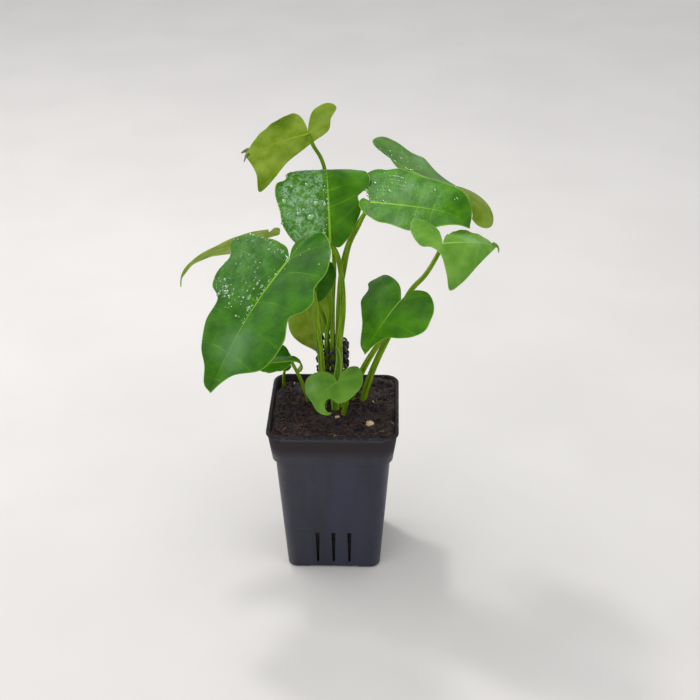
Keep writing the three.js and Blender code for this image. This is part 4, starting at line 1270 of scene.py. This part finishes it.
def drop_places(settings):
    """Where each drop lies: its place, the blade's direction there, its size and its glint."""
    rng = random.Random(23)
    blades = {entry[0] for entry in (*WET, *BEADS, *GLINTS)}
    layouts = {name: leaf_layout(name, LEAVES[name], bpy.context.scene.plant_blades)
               for name in sorted(blades)}

    def at(name, row, column, size, glint):
        data = layouts[name]
        return data["upper"][row, column], data["normal"][row, column], size, glint

    def nearest(name, place):
        apart = np.linalg.norm(layouts[name]["places"] - np.array(place, float), axis=-1)
        return np.unravel_index(apart.argmin(), apart.shape)

    found = []
    for name, count, (low, high), (near, far), side, _ in WET:
        rows, columns = layouts[name]["rib"].shape
        middle = columns // 2
        for _ in range(count):
            row = int(rows * rng.uniform(low, high))
            step = int(middle * rng.uniform(near, far))
            size = min(1.7, 0.3 + rng.expovariate(3.0)) * settings.drop_scale
            column = middle - step if side == "left" else middle + step
            found.append(at(name, row, column, size, rng.random() < settings.glint_share))
    for name, place, size in BEADS:
        found.append(at(name, *nearest(name, place), size * settings.drop_scale, True))
    for name, (u, w), reach, count in GLINTS:
        for _ in range(count):
            place = (u + rng.gauss(0, 0.6) * reach, w + rng.gauss(0, 0.6) * reach)
            found.append(at(name, *nearest(name, place), rng.uniform(0.4, 0.9), True))
    return found


def make_drops(settings):
    """Water drops of many sizes beaded on the wet parts of the blades."""
    rng = random.Random(7)

    # A drop is a flattened ball, and its glint, a painted highlight, a small bright ball on the
    # side towards the light.
    def put(part, drop):
        centre, normal, size, glint = drop
        normal = Vector(normal)
        turn = normal.to_track_quat("Z", "Y").to_matrix().to_4x4()
        spin = Matrix.Rotation(rng.uniform(0, 3), 4, "Z")
        shape = Matrix.Diagonal((size * rng.uniform(0.85, 1.3), size, size * 0.55, 1))
        middle = Vector(centre) + normal * 0.08
        matrix = Matrix.Scale(MM, 4) @ Matrix.Translation(middle) @ turn @ spin @ shape
        bmesh.ops.create_uvsphere(part, u_segments=10, v_segments=6, radius=1, matrix=matrix)
        if glint:
            bright = min(0.55, max(0.26, 0.3 * size))
            way = (LIT_FROM + normal * 0.9).normalized()
            lean = way - normal * way.dot(normal)
            spot = middle + lean * size * 0.5 + normal * size * 0.48
            matrix = Matrix.Scale(MM, 4) @ Matrix.Translation(spot) @ Matrix.Scale(bright, 4)
            made = bmesh.ops.create_icosphere(part, subdivisions=1, radius=1, matrix=matrix)
            for face in {f for v in made["verts"] for f in v.link_faces}:
                face.material_index = 1

    bm = bmesh.new()
    in_batches(bm, drop_places(settings), put)
    return finish_piece("water_drops", bm, [water_finish(), glint_finish()])


# ---------------------------------------------------------------- settings and operators

class BladeSettings(bpy.types.PropertyGroup):
    """Sizes of the leaf blades."""

    thickness: FloatProperty(name="Thickness", description="Thickness of a blade at its middle",
                             default=0.0007, unit="LENGTH")
    row_step: FloatProperty(name="Row step", description="Mesh step along a blade's edge, in mm",
                            default=1.15, min=0.5)
    quilting: FloatProperty(name="Quilting", description="How far blades swell between veins",
                            default=1.0, min=0.0)


class StalkSettings(bpy.types.PropertyGroup):
    """Sizes and colours of the stalks."""

    sides: IntProperty(name="Sides", description="Sides of a stalk's mesh", default=18, min=6)
    foot_swelling: FloatProperty(name="Foot swelling", description="Extra width at the soil",
                                 default=0.1, min=0.0)
    dark: FloatVectorProperty(name="Dark", description="Darker green of the stalks",
                              subtype="COLOR", default=rgb(74, 116, 2))
    bright: FloatVectorProperty(name="Bright", description="Brighter green of the stalks",
                                subtype="COLOR", default=rgb(132, 168, 12))
    edge: FloatVectorProperty(name="Edge", description="Pale green of margins and flecks",
                              subtype="COLOR", default=rgb(186, 208, 84))


class PotSettings(bpy.types.PropertyGroup):
    """Edges and colours of the pot."""

    edge_radius: FloatProperty(name="Edge radius", description="Rounding of moulded edges",
                               default=0.0003, unit="LENGTH")
    dark: FloatVectorProperty(name="Dark", description="Darker plastic", subtype="COLOR",
                              default=rgb(24, 26, 40))
    bright: FloatVectorProperty(name="Bright", description="Lighter plastic", subtype="COLOR",
                                default=rgb(38, 41, 62))


class SoilSettings(bpy.types.PropertyGroup):
    """Fineness and colours of the soil."""

    cells: IntProperty(name="Cells", description="Cells along the soil's side", default=120)
    crumbs: IntProperty(name="Crumbs", description="Number of loose crumbs", default=520)
    fibres: IntProperty(name="Fibres", description="Number of fibres", default=240)
    dark: FloatVectorProperty(name="Dark", description="Damp peat", subtype="COLOR",
                              default=rgb(18, 11, 15))
    bright: FloatVectorProperty(name="Bright", description="Drier peat", subtype="COLOR",
                                default=rgb(66, 47, 50))
    fleck: FloatVectorProperty(name="Fleck", description="Pale flecks", subtype="COLOR",
                               default=rgb(132, 116, 100))


class CordSettings(bpy.types.PropertyGroup):
    """Sizes and colours of the coiled cord."""

    thickness: FloatProperty(name="Thickness", description="Thickness of the cord",
                             default=0.0019, unit="LENGTH")
    curl_radius: FloatProperty(name="Curl radius", description="Radius of the cord's own curls",
                               default=0.0018, unit="LENGTH")
    curls_per_turn: FloatProperty(name="Curls", description="Curls in one turn round the stalks",
                                  default=17.0)
    dark: FloatVectorProperty(name="Dark", description="Coating", subtype="COLOR",
                              default=rgb(20, 18, 22))
    # The bright colour lies in grey patches that are partly dusty and partly a painted highlight.
    bright: FloatVectorProperty(name="Bright", description="Dust on the coating",
                                subtype="COLOR", default=rgb(98, 90, 94))


class DropSettings(bpy.types.PropertyGroup):
    """Size of the water drops."""

    drop_scale: FloatProperty(name="Drop scale", description="Scale of all drops", default=1.0)
    glint_share: FloatProperty(name="Glints", description="Share of the drops that glint",
                               default=0.3, subtype="FACTOR")


class StudioSettings(bpy.types.PropertyGroup):
    """Light and floor."""

    floor: FloatVectorProperty(name="Floor", description="Floor colour", subtype="COLOR",
                               default=rgb(216, 212, 207))
    sky: FloatProperty(name="Room light", description="Strength of the even room light",
                       default=0.76)
    key: FloatProperty(name="Key light", description="Power of the high back light",
                       default=9.5, unit="POWER")
    fill: FloatProperty(name="Fill light", description="Power of the front light",
                        default=6.0, unit="POWER")
    side: FloatProperty(name="Side light", description="Power of the right light",
                        default=6.0, unit="POWER")
    glint: FloatProperty(name="Glint light", description="Power of the small light for glints",
                         default=4.0, unit="POWER")


class PLANT_OT_blades(bpy.types.Operator):
    """Models the thirteen leaf blades"""

    bl_idname = "plant.blades"
    bl_label = "Leaf Blades"

    def execute(self, context):
        for name, leaf in LEAVES.items():
            make_blade(name, leaf, context.scene.plant_blades)
        make_tip_curls()
        return {"FINISHED"}


class PLANT_OT_stalks(bpy.types.Operator):
    """Models the stalks and the sheath leaf"""

    bl_idname = "plant.stalks"
    bl_label = "Stalks"

    def execute(self, context):
        settings = context.scene.plant_stalks
        stalk_finish("stalk_flesh", settings.dark, settings.bright, settings.edge)
        stalk_finish("sheath_flesh", rgb(62, 108, 8), rgb(98, 146, 22), rgb(196, 218, 112))
        for name, leaf in LEAVES.items():
            make_stalk(name, leaf, settings)
        make_sheath()
        return {"FINISHED"}


class PLANT_OT_pot(bpy.types.Operator):
    """Models the square pot"""

    bl_idname = "plant.pot"
    bl_label = "Pot"

    def execute(self, context):
        make_pot(context.scene.plant_pot)
        return {"FINISHED"}


class PLANT_OT_soil(bpy.types.Operator):
    """Models the soil with its crumbs, fibres, chips and pellets"""

    bl_idname = "plant.soil"
    bl_label = "Soil"

    def execute(self, context):
        settings = context.scene.plant_soil
        soil_finish("fibre_red", rgb(64, 32, 26), rgb(120, 76, 62), rgb(144, 104, 82), 2.0)
        soil_finish("fibre_pale", rgb(88, 68, 48), rgb(140, 112, 84), rgb(168, 144, 112), 2.0)
        stone_finish("bark_chip", rgb(92, 66, 48), rgb(150, 118, 92))
        stone_finish("clay_pale", rgb(168, 146, 116), rgb(214, 196, 168))
        stone_finish("clay_pellet", rgb(170, 140, 104), rgb(222, 200, 166))
        make_soil(settings)
        make_crumbs(settings)
        make_fibres(settings)
        make_bits()
        for node, radius in STONES.items():
            make_stone(node, radius)
        return {"FINISHED"}


class PLANT_OT_cord(bpy.types.Operator):
    """Models the coiled cord round the back stalks"""

    bl_idname = "plant.cord"
    bl_label = "Coiled Cord"

    def execute(self, context):
        make_cord(context.scene.plant_cord)
        return {"FINISHED"}


class PLANT_OT_drops(bpy.types.Operator):
    """Models the water drops"""

    bl_idname = "plant.drops"
    bl_label = "Water Drops"

    def execute(self, context):
        make_drops(context.scene.plant_drops)
        return {"FINISHED"}


def floor_finish(colour):
    """A pale matt floor with a faint clouding."""
    material, tree, shader = new_material("floor_pale")
    place = object_place(tree)
    colour = tint(tree, scaled(colour, 0.965), tuple(colour), cloud(tree, place, 6.0, 4.0),
                  0.35, 0.65)
    for key, value in (("Base Color", colour), ("Roughness", 0.7), ("Specular IOR Level", 0.2)):
        feed(tree, shader, key, value)
    return material


def area_light(name, place, size, power):
    """A square soft light at place, pointed at the plant."""
    light = bpy.data.lights.new(name, "AREA")
    light.size = size
    light.energy = power
    lamp = bpy.data.objects.new(name, light)
    lamp.location = place
    way = Vector(LIT_POINT) - Vector(place)
    lamp.rotation_euler = way.to_track_quat("-Z", "Y").to_euler()
    bpy.context.scene.collection.objects.link(lamp)


def make_camera():
    """The camera at the photograph's place and angle."""
    pitch, yaw, roll = (math.radians(a) for a in (CAMERA_PITCH, CAMERA_YAW, CAMERA_ROLL))
    forward = Vector((math.sin(yaw) * math.cos(pitch), math.cos(yaw) * math.cos(pitch),
                      -math.sin(pitch)))
    level = Vector((math.cos(yaw), -math.sin(yaw), 0))
    above = level.cross(forward)
    right = level * math.cos(roll) + above * math.sin(roll)
    up = above * math.cos(roll) - level * math.sin(roll)
    data = bpy.data.cameras.new("camera")
    data.lens, data.sensor_width = CAMERA_LENS, CAMERA_SENSOR
    camera = bpy.data.objects.new("camera", data)
    turn = Matrix((right, up, -forward)).transposed()
    camera.matrix_world = Matrix.Translation(CAMERA_PLACE) @ turn.to_4x4()
    bpy.context.scene.collection.objects.link(camera)
    bpy.context.scene.camera = camera


class PLANT_OT_stage(bpy.types.Operator):
    """Sets up the camera, the soft lights and the pale floor"""

    bl_idname = "plant.stage"
    bl_label = "Stage"

    def execute(self, context):
        settings = context.scene.plant_studio
        make_camera()
        bm = bmesh.new()
        bmesh.ops.create_grid(bm, x_segments=8, y_segments=8, size=5.0)
        mesh = bpy.data.meshes.new("floor")
        bm.to_mesh(mesh)
        bm.free()
        mesh.materials.append(floor_finish(settings.floor))
        floor = bpy.data.objects.new("floor", mesh)
        context.scene.collection.objects.link(floor)
        world = bpy.data.worlds.new("room")
        context.scene.world = world
        world.use_nodes = True
        sky = world.node_tree.nodes["Background"]
        sky.inputs["Color"].default_value = SKY_COLOUR
        sky.inputs["Strength"].default_value = settings.sky
        for name, (place, size) in LIGHTS.items():
            area_light(name + "_light", place, size, getattr(settings, name))
        context.scene.view_settings.view_transform = "Standard"
        return {"FINISHED"}


class PLANT_PT_panel(bpy.types.Panel):
    """Lists the settings and the steps that make the plant"""

    bl_idname = "PLANT_PT_panel"
    bl_label = "Potted Philodendron"
    bl_space_type = "VIEW_3D"
    bl_region_type = "UI"
    bl_category = "Plant"

    def draw(self, context):
        for title, (group, operator) in STEPS.items():
            box = self.layout.box()
            box.label(text=title)
            settings = getattr(context.scene, group)
            for key in settings.__annotations__:
                box.prop(settings, key)
            box.operator(operator.bl_idname)


GROUPS = {
    "plant_blades": BladeSettings,
    "plant_stalks": StalkSettings,
    "plant_pot": PotSettings,
    "plant_soil": SoilSettings,
    "plant_cord": CordSettings,
    "plant_drops": DropSettings,
    "plant_studio": StudioSettings,
}
STEPS = {
    "Pot": ("plant_pot", PLANT_OT_pot),
    "Soil": ("plant_soil", PLANT_OT_soil),
    "Stalks": ("plant_stalks", PLANT_OT_stalks),
    "Blades": ("plant_blades", PLANT_OT_blades),
    "Cord": ("plant_cord", PLANT_OT_cord),
    "Drops": ("plant_drops", PLANT_OT_drops),
    "Stage": ("plant_studio", PLANT_OT_stage),
}


def register():
    """Adds the settings, the steps and the panel."""
    for group in GROUPS.values():
        bpy.utils.register_class(group)
    for _, operator in STEPS.values():
        bpy.utils.register_class(operator)
    bpy.utils.register_class(PLANT_PT_panel)
    for name, group in GROUPS.items():
        setattr(bpy.types.Scene, name, PointerProperty(type=group))


def unregister():
    """Takes them away again."""
    for name in GROUPS:
        delattr(bpy.types.Scene, name)
    bpy.utils.unregister_class(PLANT_PT_panel)
    for _, operator in reversed(STEPS.values()):
        bpy.utils.unregister_class(operator)
    for group in reversed(GROUPS.values()):
        bpy.utils.unregister_class(group)


def main():
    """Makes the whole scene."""
    register()
    for _, operator in STEPS.values():
        group, step = operator.bl_idname.split(".")
        getattr(getattr(bpy.ops, group), step)()
    bpy.context.view_layer.update()


if __name__ == "__main__":
    main()
